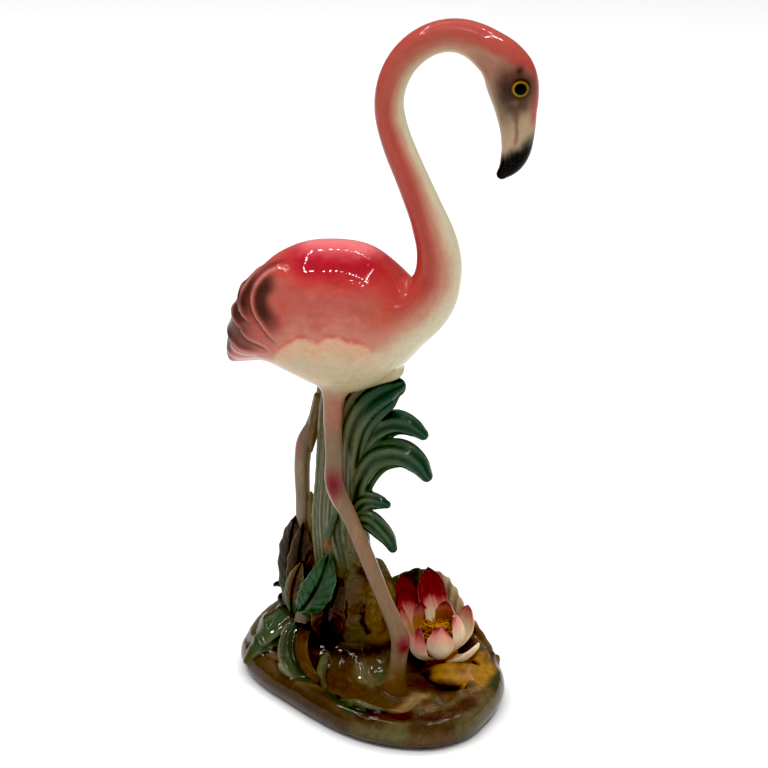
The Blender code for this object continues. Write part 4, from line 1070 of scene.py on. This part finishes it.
# Lips of clay round the pools seen from above: x and y along the crest, how high it
# stands, how wide it is, and how deep a groove runs to the right of it
lips = [
    {"crest": [(-14, -19.5), (-9.7, -22.5), (-4.4, -27), (1.3, -32), (8.9, -34.8), (18.9, -34.3),
               (25.5, -29), (27, -21), (29.7, -14), (32, -6)],
     "rise": 1.8, "wide": 1.2, "groove": 2.2},
    {"crest": [(-14.6, 16), (-7.8, 6), (1.3, -4.2), (7, -10.5), (11.5, -13.7), (19.7, -15), (26, -11)],
     "rise": 0.9, "wide": 0.8, "groove": 0.5},
    {"crest": [(33, -18), (37, -17.5), (43.6, -17.7), (47.2, -13.2), (50.4, -6), (52, 2)],
     "rise": 1.7, "wide": 1.3, "groove": 0.6},
    {"crest": [(47.3, 17.8), (50.4, 24.6), (53.4, 34.8)], "rise": 2.4, "wide": 2.2, "groove": 0.0},
    {"crest": [(46.2, -0.5), (48.4, -1.6), (50.6, 0.8), (50.4, 4.2), (47.6, 5.4), (45.8, 3)],
     "rise": 1.1, "wide": 0.9, "groove": 0.0},
    {"crest": [(33, -30.5), (35, -32), (38, -31)], "rise": 2.2, "wide": 2.4, "groove": 0.0},
    {"crest": [(-72, 17), (-66, 6), (-57, -4), (-45, -12.5), (-33, -21)],
     "rise": 0.8, "wide": 1.6, "groove": 0.0},
]

# Long leaves that spill over the left end: x, y, z, half width; how thin, glaze and edge
spills = [
    {"path": [(-50.6, 20, 35.5, 5.5), (-59.5, 16, 28, 6.5), (-67.5, 12.5, 18.5, 6.0), (-72, 10, 10.5, 3.5)],
     "thin": 0.34, "glaze": "grey", "edge": "sage"},
    {"path": [(-44, 14, 33, 4.5), (-53, 8, 26.5, 5.8), (-61, 1.5, 19, 5.2), (-66, -3, 11, 3.0)],
     "thin": 0.4, "glaze": "green", "edge": "sage"},
    {"path": [(-46, 9, 29, 2.0), (-47, 0, 24.5, 2.4), (-44, -9.5, 19, 2.6), (-36, -17, 14.5, 2.4),
              (-26, -21.5, 12, 1.6)], "thin": 0.7, "glaze": "sage", "edge": "cream"},
    {"path": [(-42.5, 11, 30.5, 2.5), (-42, 1, 26, 3.6), (-38.5, -8.5, 20.5, 3.6), (-31, -16, 15, 3.0),
              (-21, -20.5, 12.5, 2.0)], "thin": 0.5, "glaze": "bottle", "edge": "sage"},
    {"path": [(-37.4, 9, 28, 2.8), (-35.8, -2.5, 24, 3.2), (-31.5, -10, 18.5, 3.0), (-23, -17, 13.5, 2.2)],
     "thin": 0.5, "glaze": "bark", "edge": "moss"},
    {"path": [(-13.3, 25, 22, 2.0), (-20.3, 15, 20, 2.2), (-25, 4, 16.5, 2.2), (-25, -8, 13.5, 2.2),
              (-20, -17, 11, 1.8)], "thin": 0.9, "glaze": "moss", "edge": "sage"},
    {"path": [(-54.5, 17, 38, 3.0), (-43.3, 12.2, 33, 3.0), (-32.5, 9, 24, 2.6), (-27.5, 9, 18, 2.4)],
     "thin": 0.9, "glaze": "dark", "edge": "bottle"},
]
twig = [(-50, 16, 44, 2.2), (-56.5, 16, 46, 1.6), (-58.6, 16, 45, 1.2)]
rockRows = [
    (-14, 22, 8, 17), (-14, 20, 24, 15.5), (-13, 16, 42, 13.5), (-12.5, 13, 55, 11), (-13, 12, 65, 8.5),
    (-14, 12, 76, 5.5),
]

groundTones = {
    "brown": tone(80, 58, 34),
    "umber": tone(54, 36, 20),
    "bark": tone(74, 46, 20),
    "olive": tone(84, 78, 48),
    "moss": tone(94, 92, 60),
    "green": tone(52, 70, 42),
    "bottle": tone(28, 42, 20),
    "sage": tone(108, 112, 86),
    "grey": tone(76, 72, 50),
    "rose": tone(108, 78, 60),
    "russet": tone(86, 50, 26),
    "wine": tone(46, 20, 12),
    "tan": tone(150, 120, 78),
    "cream": tone(192, 172, 134),
    "ochre": tone(150, 104, 34),
    "amber": tone(178, 128, 48),
    "dark": tone(24, 14, 8),
    "black": tone(10, 7, 4),
}

# Brush strokes on the base, some of them painted shade: glaze, strength, reach, and x, y, z along the stroke
strokes = [
    ("umber", 0.7, 9, [(-64, -5, 9), (-51, -15, 6), (-33, -26, 5), (-15, -36, 6), (1, -44, 6)]),
    ("olive", 0.8, 8, [(10, -46, 5), (20, -47, 5), (31, -47, 6)]),
    ("russet", 0.5, 7, [(40, -44, 6), (49, -39, 6)]),
    ("umber", 0.8, 5, [(38, -41, 13), (46, -36, 12), (53, -32, 11)]),
    ("olive", 0.8, 8, [(57, -28, 9), (61, -14, 9), (63, -4, 10)]),
    ("bottle", 0.7, 5, [(59, 8, 15), (60, 14, 14), (60, 19, 13)]),
    ("rose", 0.5, 5, [(56, 26, 14), (54, 38, 14)]),
    ("umber", 0.8, 6, [(-40, -21, 11), (-31, -27, 10), (-17, -32, 12), (-8, -34, 12)]),
    ("wine", 0.75, 4.5, [(32, -38, 14), (43, -34, 14), (51, -25, 14), (55, -15, 14)]),
    ("wine", 0.9, 4.2, [(10, -42, 14), (20, -42, 14), (30, -39, 14)]),
    ("bottle", 0.9, 4.2, [(-10, -28, 14), (-4, -33, 14), (3, -38, 14), (9, -40, 14)]),
    # Dark glaze and painted shade along the groove in front of the pool's lip.
    ("black", 0.95, 2.6, [(4, -36.5, 14), (10, -38, 14), (19, -38, 14), (26, -34, 14)]),
    ("bark", 0.5, 6, [(-24, -4, 15), (-17, -7, 14), (-12, -6, 14), (-9, -11, 13), (0, -14, 11)]),
    ("umber", 0.5, 4, [(-23, -18, 12), (-15, -14, 12), (-10, -14, 12)]),
    ("umber", 0.45, 10, [(-22, 2, 12), (-12, -8, 10), (0, -14, 10), (14, -14, 10)]),
    ("tan", 0.6, 4, [(-3, -25, 12), (4, -28, 12), (12, -29.5, 12), (20, -28, 12), (25, -20, 11),
                     (27, -9, 11)]),
    ("moss", 0.7, 2.2, [(-12, -22, 15), (-4.4, -27.5, 16), (1.3, -32.5, 16), (8, -35, 16)]),
    ("sage", 0.6, 1.6, [(10, -35, 16), (19, -34.5, 16), (25.5, -29, 16), (27.5, -21, 15), (30, -13, 15)]),
    ("moss", 0.7, 4.5, [(-16, 20, 15), (-8, 8, 13), (-4, -4, 14), (2, -7, 12)]),
    ("green", 0.6, 4, [(0, 5, 12.5), (5, 1, 12), (9, -4, 12)]),
    ("bark", 0.9, 5, [(20, 2, 12), (26, 3, 13), (33, 2, 15)]),
    ("tan", 0.8, 3, [(30, -9, 12), (31, -6, 12), (35, -4, 14)]),
    ("bottle", 0.9, 2.6, [(36, -9, 12), (39, -10, 12), (42, -9.5, 12)]),
    ("sage", 0.6, 2.2, [(36, -12, 9), (44, -9, 10), (50, -5, 13)]),
    ("rose", 0.6, 3, [(30, -18, 10), (35, -19, 10), (38, -14, 9)]),
    ("black", 0.7, 1.7, [(47.5, -4.5, 15), (50, -4, 15)]),
    ("tan", 0.5, 2.5, [(52, -5, 15), (55, -2, 15)]),
    # Painted shadow under the water lily's front petals.
    ("dark", 0.95, 5.0, [(10, 24, 14), (18, 20, 13), (26, 15, 13), (29, 11, 13)]),
    ("black", 0.9, 2.6, [(-19, -20, 13), (-15, -23, 12.5), (-10, -24, 11)]),
    ("rose", 0.7, 4, [(-57, 0, 13), (-53, -2, 12), (-48, -5, 13)]),
    ("cream", 0.35, 1.5, [(-56, -2, 12), (-51, -5, 12), (-47, -8, 12)]),
    # Painted shade in the gap between the spilling leaves.
    ("dark", 0.9, 2.2, [(-46, 8, 24), (-52, 3, 20), (-59, -3, 14)]),
    ("black", 0.8, 2.4, [(-50, 17, 36), (-42, 12, 31), (-33, 9, 22), (-28, 8, 18)]),
    ("dark", 0.8, 5, [(-34, 8, 24), (-28, 8, 22), (-22, 6, 26)]),
    ("bark", 0.7, 6, [(-22, 4, 34), (-14, 4, 44), (-8, 5, 56)]),
    ("ochre", 0.4, 7, [(-4, 8, 52), (-3, 9, 40), (-1, 12, 30)]),
    ("dark", 0.7, 1.4, [(-6, 5, 48), (-7, 4, 40), (-5, 7, 32)]),
    ("bark", 0.6, 3, [(2, 14, 40), (4, 15, 30)]),
]


def groundHeight(x, y):
    # Rounded heaps less hollows, each a bell over an oval.
    height = np.zeros_like(x)
    for sign, spots in ((1, heaps), (-1, hollows)):
        for cx, cy, rise, rx, ry in spots:
            height += sign * rise * np.exp(-(((x - cx) / rx) ** 2) - ((y - cy) / ry) ** 2)
    return height


def baseOutline(count):
    # The widest line seen from above, as shares of half the length and half the depth.
    shares = [
        (-0.985, 0.19), (-0.86, -0.13), (-0.665, -0.36), (-0.43, -0.555), (-0.19, -0.745),
        (0.075, -0.915), (0.29, -0.99), (0.55, -0.985), (0.73, -0.905), (0.915, -0.65),
        (0.985, -0.30), (1.0, -0.05), (0.975, 0.24), (0.86, 0.56), (0.62, 0.80),
        (0.28, 0.945), (-0.08, 0.985), (-0.44, 0.94), (-0.76, 0.76), (-0.95, 0.48),
    ]
    line = closedLine(shares, count)
    line -= (line.max(axis=0) + line.min(axis=0)) / 2
    line *= np.array([base["length"], base["depth"]]) / np.ptp(line, axis=0)
    way = np.roll(line, -1, axis=0) - np.roll(line, 1, axis=0)
    outward = np.column_stack([way[:, 1], -way[:, 0]])
    return line, outward / np.linalg.norm(outward, axis=1)[:, None]


def baseShell():
    # Rings up the wall, then rings of ground that shrink towards the middle.
    line, outward = baseOutline(420)
    wall = [(1.6, -base["below"] / base["wall"]), (1.0, 0.0), (0.5, 0.10), (0.16, 0.25), (0.0, 0.47),
            (0.12, 0.70), (0.36, 0.88), (0.70, 0.99)]
    rings = []
    for inset, height in wall:
        edge = line - outward * inset * base["tuck"]
        rings.append(np.column_stack([edge, np.full(len(edge), height * base["wall"])]))
    inner = line - outward * base["rim"]
    for step, share in enumerate(np.linspace(1, 0.01, 130)):
        edge = inner * share
        x, y = edge[:, 0] + baseMiddle[0], edge[:, 1] + baseMiddle[1]
        depth = (1 - share) * 46
        sink = base["poolDepth"] * float(ease(3, 9, depth))
        rise = groundHeight(x, y) * min(1, 0.55 + depth / 8)
        rings.append(np.column_stack([edge, base["wall"] - sink + rise]))
    grid = np.array(rings)
    grid[..., :2] += baseMiddle[:2]
    return {"grid": grid}


def padShells():
    # One fluted pad upright behind the flower, two thick ones in front of it.
    top = smoothLine([(-8, 38, 46), (3, 42, 51.5), (8, 42, 54), (14, 43, 53.5), (22.5, 42, 53), (28, 42, 48),
                      (33.5, 42, 38), (41.5, 40, 28.5), (50, 36, 20)], 120)
    foot = smoothLine([(-8, 40, 12), (3, 43, 12), (8, 44, 12), (14, 45, 12), (23, 45, 12), (29, 44, 12),
                       (35, 43, 12), (42, 40, 10), (50, 36, 9)], 120)
    turn = np.linspace(0, 2 * math.pi, 60, endpoint=False)
    middle, tall = (top + foot) / 2, (top - foot) / 2
    along = np.gradient(middle, axis=0)
    thick = np.cross(along, tall)
    thick /= np.linalg.norm(thick, axis=1)[:, None]
    share = np.linspace(0, 1, 120)
    flute = 0.8 * np.sin(24 * math.pi * share) * np.sin(math.pi * share)
    grid = middle[:, None] + tall[:, None] * np.sin(turn)[:, None]
    grid = grid + thick[:, None] * (np.cos(turn) * 2.0 + flute[:, None])[..., None]
    front = [
        [(24, 11, 14, 3), (33, 8, 17, 4.2), (42, 9, 19, 4.6), (51, 13, 17, 3)],
        [(29, 6, 13, 2.5), (37, 2, 15, 3.4), (47, 4, 16, 3.4), (55, 11, 15, 2.6)],
    ]
    return {"grid": grid}, [tube(path, 50, 36, side=(0, 0, 1), flat=0.8) for path in front]


def paintStroke(paint, points, colour, strength, reach, line, seed):
    # A brush stroke: strongest along its line, with an edge broken up by noise.
    low, high = np.min(line, axis=0) - 2.5 * reach, np.max(line, axis=0) + 2.5 * reach
    close = np.flatnonzero(((points > low) & (points < high)).all(axis=1))
    if len(close) == 0:
        return
    away, share, _ = nearLine(points[close], smoothLine(line, 24))
    ragged = 0.35 * clouds(points[close], 4, seed) + 0.18 * clouds(points[close], 1.4, seed + 5)
    amount = ease(1.35, 0.45, away / reach + ragged) * strength
    paint[close] += (colour - paint[close]) * amount[:, None]


def groundRelief(points, normals):
    # Lips and grooves along the pools, and small hand-worked unevenness on rock and ground.
    height = np.zeros(len(points))
    top = ease(0.2, 0.6, normals[:, 2]) * ease(26, 20, points[:, 2]) * ease(8, 11, points[:, 2])
    for lip in lips:
        away, share, left = nearLine(points[:, :2], flatLine(lip["crest"], 60))
        ends = ease(0, 0.08, share) * ease(0, 0.08, 1 - share)
        wobble = 1 + 0.25 * np.sin(share * 23)
        height += lip["rise"] * wobble * bell(away, lip["wide"]) * ends * top
        height -= lip["groove"] * bell(away - 2.3 * lip["wide"], lip["wide"]) * ~left * ends * top
    rough = ease(12, 20, points[:, 2]) * ease(82, 70, points[:, 2])
    rough *= ease(30, 22, np.hypot(points[:, 0] + 14, points[:, 1] - 18))
    height += rough * (1.3 * clouds(points, 9, 151) + 0.5 * clouds(points, 3.2, 153))
    height += 0.35 * clouds(points, 7, 155) * top
    pads = ease(30, 36, points[:, 0]) * ease(22, 12, points[:, 1]) * ease(13.5, 16, points[:, 2])
    height += pads * (1.0 * clouds(points, 6, 157) + 0.5 * clouds(points, 2.4, 159))
    return height


def paintGround(points):
    # Mottled browns and greens under brush strokes, with painted shade low on the wall.
    t = groundTones
    x, y, z = points.T
    wide, fine = clouds(points, 22, 91), clouds(points, 6, 95)
    paint = np.tile(t["brown"], (len(points), 1))
    lay(paint, t["olive"], ease(-0.1, 0.6, wide) * 0.8)
    lay(paint, t["umber"], ease(0.0, 0.8, -wide) * 0.5)
    lay(paint, t["rose"], ease(0.1, 0.9, fine) * 0.35)
    lay(paint, t["moss"], ease(0.2, 0.9, -fine) * 0.4)
    behind = ease(30, 44, y) * ease(30, 20, z)
    lay(paint, t["olive"], behind * 0.5)
    rock = ease(18, 26, z) * ease(30, 20, np.hypot(x + 14, y - 18))
    lay(paint, t["olive"], rock * 0.6)
    lay(paint, t["ochre"], rock * ease(0.0, 0.7, fine + 0.04 * (x + 8)) * 0.35)
    lay(paint, t["russet"], rock * ease(0.1, 0.7, -fine) * 0.6)
    lay(paint, t["green"], rock * ease(0.2, 0.7, wide + 0.5 * clouds(points, 5, 97)) * 0.5)
    lay(paint, t["dark"], rock * ease(0.0, 0.6, -wide - 0.5 * fine) * 0.75)
    # Painted shadow: a dark band along the foot of the rock, where it overhangs the pool.
    rockShadow = bell(z - 21 - 0.12 * (x + 14), 3.2) * ease(34, 24, np.hypot(x + 14, y - 18))
    lay(paint, t["dark"], rockShadow * ease(22, 12, y) * ease(-30, -26, x) * 0.75)
    for index, (glazeName, strength, reach, line) in enumerate(strokes):
        paintStroke(paint, points, t[glazeName], strength, reach, line, 161 + 3 * index)
    # Painted shade: the wall darkens towards the floor.
    lay(paint, t["dark"], ease(8, 0, z) * 0.35)
    return paint


def paintSpills(points, paint, side):
    # Each spilling leaf: its own glaze, streaks along it, a pale edge, and painted shade just beside and
    # below it.
    for index, leaf in enumerate(spills):
        path = smoothLine(leaf["path"], 60)
        share, away, turn = roundLimb(points, path, side)
        ends = ease(1.5, 1.1, away)
        drawnOut = np.column_stack([share * 4, np.cos(turn) * 2.4, np.sin(turn) * 2.4])
        stroke = clouds(drawnOut, 1.0, 231 + index)
        own = np.tile(groundTones[leaf["glaze"]], (len(points), 1))
        lay(own, groundTones[leaf["edge"]], ease(0.1, 0.8, stroke) * 0.6)
        lay(own, groundTones["dark"], ease(0.0, 0.8, -stroke) * 0.6)
        lay(own, groundTones[leaf["edge"]], ease(0.8, 1.0, np.abs(np.sin(turn))) * 0.45)
        amount = ends * (0.9 - 0.35 * ease(0.75, 1.0, share))
        paint += (own - paint) * amount[:, None]
        # Painted shade: a dark band just outside each leaf, on the ground beside and below it.
        lay(paint, groundTones["dark"], bell(away - 1.55, 0.22) * 0.6)


def makeBase(material):
    # Base, rock, pads and spilling leaves as one skin with the low relief on top.
    t = groundTones
    spillFace = (-0.35, -0.55, 0.75)
    ribbed = {"side": spillFace, "ribs": 5, "rib": 0.09}
    spilling = [tube(leaf["path"], 70, 44, flat=leaf["thin"], **ribbed) for leaf in spills]
    pad, frontPads = padShells()
    rock = tube(rockRows, 60, 60, ribs=3, rib=0.04)
    shells = [baseShell(), rock, pad, tube(twig, 30, 24)] + spilling + frontPads
    mesh = fusedMesh("base", shells, base["voxel"], base["easing"])
    points = meshPoints(mesh)
    normals = meshNormals(mesh)
    points += normals * groundRelief(points, normals)[:, None]
    points[:, 2] = np.maximum(points[:, 2], 0)
    setPoints(mesh, points)
    paint = paintGround(points)
    paintSpills(points, paint, spillFace)
    x, y, z = points.T
    drift, crumbs = clouds(points, 6, 241), clouds(points, 2.2, 243)
    front = ease(27, 31, x) * ease(26, 19, y) * ease(-3, 1, y) * ease(12.5, 14.5, z) * ease(60, 55, x)
    lay(paint, t["ochre"], front * 0.95)
    lay(paint, t["amber"], front * ease(0.1, 0.7, drift) * 0.6)
    lay(paint, t["russet"], front * ease(0.2, 0.8, -drift) * 0.55)
    lay(paint, t["umber"], front * ease(0.35, 0.8, crumbs) * 0.6)
    upright = ease(34, 38, y) * ease(16, 22, z) * ease(-14, -8, x)
    lay(paint, t["cream"], upright * 0.9)
    lay(paint, t["tan"], upright * ease(0.2, 0.8, clouds(points, 3, 131)) * 0.5)
    lay(paint, t["bark"], upright * ease(34, 26, z) * ease(26, 34, x) * 0.8)
    lay(paint, t["grey"], upright * ease(22, 14, x) * 0.85)
    lay(paint, t["dark"], upright * ease(13, 7, x) * ease(46, 52, z) * 0.5)
    lay(paint, t["black"], ease(3.4, 2.4, np.linalg.norm(points - (-57.5, 16, 45.5), axis=1)) * 0.9)
    keepPaint(mesh, relaxed(paint, meshEdges(mesh), 1), points * 0.35)
    return finishedPiece("base", mesh, material)


# The water lily

lilyTones = {
    "crimson": tone(122, 12, 20),
    "deep": tone(58, 4, 8),
    "pink": tone(206, 122, 112),
    "cream": tone(222, 196, 158),
    "white": tone(236, 222, 200),
    "amber": tone(164, 96, 18),
    "olive": tone(130, 116, 62),
}
lilyRoot = np.array([29.0, 20.0, 18.0])
lilyHeart = np.array([28.0, 16.0, 46.0])

# red is how much of the petal from its tip is crimson, glow how amber its inside is
petals = [
    {"tip": (2.6, 33, 53), "bulge": (4, 36, 28), "width": 14, "cup": 0.35, "red": 0.5, "glow": 0.1},
    {"tip": (4.5, 29, 47), "bulge": (5, 32, 26), "width": 12, "cup": 0.3, "red": 0.28, "glow": 0.2},
    {"tip": (16.3, 36, 58), "bulge": (17, 42, 36), "width": 15, "cup": 0.35, "red": 0.48, "glow": 0.1},
    {"tip": (39, 31, 43), "bulge": (42, 36, 26), "width": 14, "cup": 0.3, "red": 0.08, "glow": 0.0},
    {"tip": (16.5, 24, 44.5), "bulge": (10, 24, 28), "width": 13, "cup": 0.5, "red": 0.16, "glow": 0.8},
    {"tip": (19.5, 28, 48), "bulge": (20, 30, 34), "width": 7, "cup": 0.3, "red": 0.12, "glow": 0.0},
    {"tip": (29.9, 24, 47), "bulge": (31, 33, 34), "width": 13, "cup": 0.5, "red": 0.14, "glow": 1.0},
    {"tip": (36.5, 16, 45), "bulge": (48, 16, 30), "width": 12, "cup": 0.4, "red": 0.08, "glow": 0.3},
    {"tip": (21.5, 9, 38.3), "bulge": (14, 0, 20), "width": 15, "cup": 0.45, "red": 0.2, "glow": 0.2},
    {"tip": (33, 8, 41), "bulge": (35, -1, 24), "width": 14, "cup": 0.4, "red": 0.12, "glow": 0.2},
    {"tip": (50.5, 14, 32), "bulge": (44, 9, 19), "width": 11, "cup": 0.3, "red": 0.0, "glow": 0.1},
    {"tip": (8, 18, 43), "bulge": (5, 16, 23), "width": 13, "cup": 0.4, "red": 0.1, "glow": 0.3},
]


def petalShell(petal, count=56):
    # A curve from the flower's root out over the bulge to the tip, pointed at its end.
    tip, bulge = np.array(petal["tip"], float), np.array(petal["bulge"], float)
    t = np.linspace(0, 1, count)[:, None]
    path = (1 - t) ** 2 * lilyRoot + 2 * t * (1 - t) * bulge + t**2 * tip
    width = np.interp(t[:, 0], [0, 0.3, 0.55, 0.78, 0.92, 1], [0.35, 0.8, 1.0, 0.92, 0.55, 0.08])
    face = lilyHeart - (bulge * 0.7 + tip * 0.3)
    face /= np.linalg.norm(face)

    def fluting(share, reach):
        return 0.12 * np.sin(reach * 9 + petal["width"]) * ease(0, 0.2, 1 - share)

    return blade(path, width * petal["width"] / 2, face, 2.2, petal["cup"], fluting, 48, 0.55)


def makeLily(material):
    # The petals and the round heart that carries the threads, painted from root to tip.
    t = lilyTones
    shells, paints, flows = [], [], []
    for index, petal in enumerate(petals):
        shell = petalShell(petal)
        shells.append(shell)
        points = shell["grid"].reshape(-1, 3)
        s, r = shell["share"].ravel(), shell["reach"].ravel()
        inner = np.sin(shell["turn"].ravel()) > 0
        streak = clouds(np.column_stack([s * 2, r * 7, inner * 3.0]), 1.0, 141 + index)
        drift = clouds(points, 6, 261 + index)
        paint = np.tile(t["cream"], (len(points), 1))
        lay(paint, t["white"], bell(s - 0.5, 0.2) * (0.4 + 0.4 * drift))
        lay(paint, t["olive"], ~inner * ease(0.5, 0.2, s) * 0.55)
        lay(paint, t["amber"], inner * petal["glow"] * ease(1.02, 0.8, s + 0.1 * drift))
        start = 1 - petal["red"]
        shaped = s + 0.08 * streak - 0.07 * (1 - r**2) + 0.04
        lay(paint, t["pink"], ease(start - 0.28, start + 0.02, shaped) * (petal["red"] > 0) * 0.85)
        red = ease(start - 0.06, start + 0.16, shaped) * (petal["red"] > 0)
        lay(paint, t["crimson"], red * min(1, 0.55 + petal["red"]))
        lay(paint, t["deep"], red * ease(0.85, 1.0, s) * 0.6)
        lay(paint, t["white"], ease(0.93, 1.0, np.abs(r)) * 0.45 * ease(1.0, 0.7, s))
        paints.append(paint)
        flows.append(np.column_stack([s * 2, r * 6, inner * 2.0]) + index * 9)
    heart = tube([(29, 22, 12, 9), (29, 20, 22, 8), (28.5, 17, 31, 6.5)], 30, 40)
    shells.append(heart)
    heartPoints = heart["grid"].reshape(-1, 3)
    paints.append(np.tile(t["amber"], (len(heartPoints), 1)))
    flows.append(heartPoints * 0.6)
    points, faces = joinedShells(shells)
    mesh = newMesh("water_lily", points, faces)
    outwardFaces(mesh)
    keepPaint(mesh, np.vstack(paints), np.vstack(flows))
    return finishedPiece("water_lily", mesh, material)


stamens = {"count": 210, "radius": 0.34, "length": (4.5, 9.5), "spread": 7.0, "seed": 7}


def makeStamens(material):
    # Fine clay threads: each climbs from the heart, leans outwards and curls over.
    random = np.random.default_rng(stamens["seed"])
    shells, paints = [], []
    for _ in range(stamens["count"]):
        turn, lean = random.uniform(0, 2 * math.pi), random.uniform(0.1, 1.0)
        out = np.array([math.cos(turn), math.sin(turn), -0.2])
        root = np.array([28.5, 17.0, 31.5]) + stamens["spread"] * lean * out
        length = random.uniform(*stamens["length"]) * (1.1 - 0.4 * lean)
        way = np.array([math.cos(turn) * lean * 0.8, math.sin(turn) * lean * 0.8 - 0.25, 1.2])
        way /= np.linalg.norm(way)
        share = np.linspace(0, 1, 8)[:, None]
        wobble = random.normal(0, 0.9, (1, 3)) * share * (1 - share) * 4
        droop = np.array([math.cos(turn), math.sin(turn), -0.8]) * share**3 * random.uniform(0.5, 2.5)
        path = np.column_stack([root + way * share * length + wobble + droop, np.full(8, stamens["radius"])])
        shell = tube(path, 10, 6)
        shells.append(shell)
        shade = random.uniform(0, 1) ** 1.5
        colour = tone(206, 150, 40) * shade + tone(124, 68, 14) * (1 - shade)
        paints.append(np.tile(colour, (shell["grid"].shape[0] * shell["grid"].shape[1], 1)))
    points, faces = joinedShells(shells)
    mesh = newMesh("stamens", points, faces)
    outwardFaces(mesh)
    keepPaint(mesh, np.vstack(paints), points * 0.8)
    return finishedPiece("stamens", mesh, material)


# Floor, light and camera

studio = {
    "floorSize": 12.0,
    "worldLight": 0.24,
    "skylight": {"strength": 0.8, "spread": math.radians(150), "from": (0.25, -0.6, 1.0)},
    "lampFrame": {"width": 3.2, "depth": 2.5, "middle": (-0.2, -0.2), "height": 3.0,
                  "across": 13, "down": 9, "lamp": 0.08, "power": 3.3},
    "blackLevel": 0.016,  # a share of full white
}


def paleSurface(name, colour):  # a plain dull material
    material = bpy.data.materials.new(name)
    material.use_nodes = True
    shader = material.node_tree.nodes["Principled BSDF"]
    shader.inputs["Base Color"].default_value = (*colour, 1)
    shader.inputs["Roughness"].default_value = 0.9
    return material


def makeFloor():
    # One large pale square that the statue stands on.
    half = studio["floorSize"] / 2
    mesh = bpy.data.meshes.new("floor")
    corners = [(-half, -half, 0), (half, -half, 0), (half, half, 0), (-half, half, 0)]
    mesh.from_pydata(corners, [], [(0, 1, 2, 3)])
    floor = bpy.data.objects.new("floor", mesh)
    bpy.context.scene.collection.objects.link(floor)
    mesh.materials.append(paleSurface("pale_floor", (0.92, 0.92, 0.92)))


def areaLight(name, place, target, width, depth, power):
    # A flat lamp that faces its target.
    light = bpy.data.lights.new(name, "AREA")
    light.shape = "RECTANGLE"
    light.size, light.size_y = width, depth
    light.energy = power
    lamp = bpy.data.objects.new(name, light)
    bpy.context.scene.collection.objects.link(lamp)
    lamp.location = place
    way = Vector(target) - Vector(place)
    lamp.rotation_euler = way.to_track_quat("-Z", "Y").to_euler()
    return lamp


def makeLight():
    # White surroundings, one very soft light from above, and the frame of lamps.
    world = bpy.data.worlds.new("studio")
    bpy.context.scene.world = world
    world.use_nodes = True
    sky = world.node_tree.nodes["Background"]
    sky.inputs["Color"].default_value = (1, 1, 1, 1)
    sky.inputs["Strength"].default_value = studio["worldLight"]
    soft = studio["skylight"]
    sun = bpy.data.lights.new("skylight", "SUN")
    sun.energy, sun.angle = soft["strength"], soft["spread"]
    lamp = bpy.data.objects.new("skylight", sun)
    bpy.context.scene.collection.objects.link(lamp)
    lamp.rotation_euler = (-Vector(soft["from"])).to_track_quat("-Z", "Y").to_euler()
    # Small lamps set round a frame show as the dotted oblong on the bird's back.
    ring = studio["lampFrame"]
    rows = np.linspace(-0.5, 0.5, ring["across"])
    columns = np.linspace(-0.5, 0.5, ring["down"])[1:-1]
    spots = [(x, y) for x in rows for y in (-0.5, 0.5)] + [(x, y) for x in (-0.5, 0.5) for y in columns]
    for index, (x, y) in enumerate(spots):
        across = ring["middle"][0] + x * ring["width"]
        away = ring["middle"][1] + y * ring["depth"]
        place = (across, away, ring["height"])
        areaLight(f"lamp_{index}", place, (0, 0, 0.2), ring["lamp"], ring["lamp"], ring["power"])


camera = {
    "azimuth": math.radians(20),
    "elevation": math.radians(20),
    "distance": 1000.0,
    "target": (6.0, 0.0, 166.17),
    "lens": 100.05,  # on a 36 wide sensor
}


def deepBlacks(floorLevel):
    # The print's black point: light below this level develops as black.
    view = bpy.context.scene.view_settings
    view.use_curve_mapping = True
    view.curve_mapping.black_level = (floorLevel, floorLevel, floorLevel)
    view.curve_mapping.update()


def makeCamera():
    # Stands about a metre away, 20 degrees up and 20 degrees round from the side view.
    a, e = camera["azimuth"], camera["elevation"]
    look = np.array([-math.sin(a) * math.cos(e), math.cos(a) * math.cos(e), -math.sin(e)])
    place = toMetres(np.array(camera["target"]) - look * camera["distance"])
    data = bpy.data.cameras.new("camera")
    data.lens, data.sensor_width, data.sensor_fit = camera["lens"], 36.0, "HORIZONTAL"
    view = bpy.data.objects.new("camera", data)
    bpy.context.scene.collection.objects.link(view)
    turn = Vector(look).to_track_quat("-Z", "Y").to_matrix().to_4x4()
    view.matrix_world = Matrix.Translation(Vector(place)) @ turn
    bpy.context.scene.camera = view


makeCamera()
makeFloor()
makeLight()
bpy.context.scene.view_settings.view_transform = "Standard"
deepBlacks(studio["blackLevel"])
makeBird(glaze("birdGlaze", streak=0.07, mottle=0.05, craze=0.10, speck=0.12))
makeEyes(glaze("eyeGlaze", streak=0.03, mottle=0.03, craze=0.0, speck=0.0, wave=0.0))
makeFern(glaze("fernGlaze", streak=0.22, mottle=0.12, craze=0.10, speck=0.3))
makeLeaves(glaze("leafGlaze", streak=0.22, mottle=0.15, craze=0.10, speck=0.3))
makeBase(glaze("groundGlaze", streak=0.15, mottle=0.18, craze=0.10, speck=0.45, wave=0.15))
makeLily(glaze("lilyGlaze", streak=0.10, mottle=0.06, craze=0.08, speck=0.1))
makeStamens(glaze("stamenGlaze", streak=0.05, mottle=0.1, craze=0.0, speck=0.2))
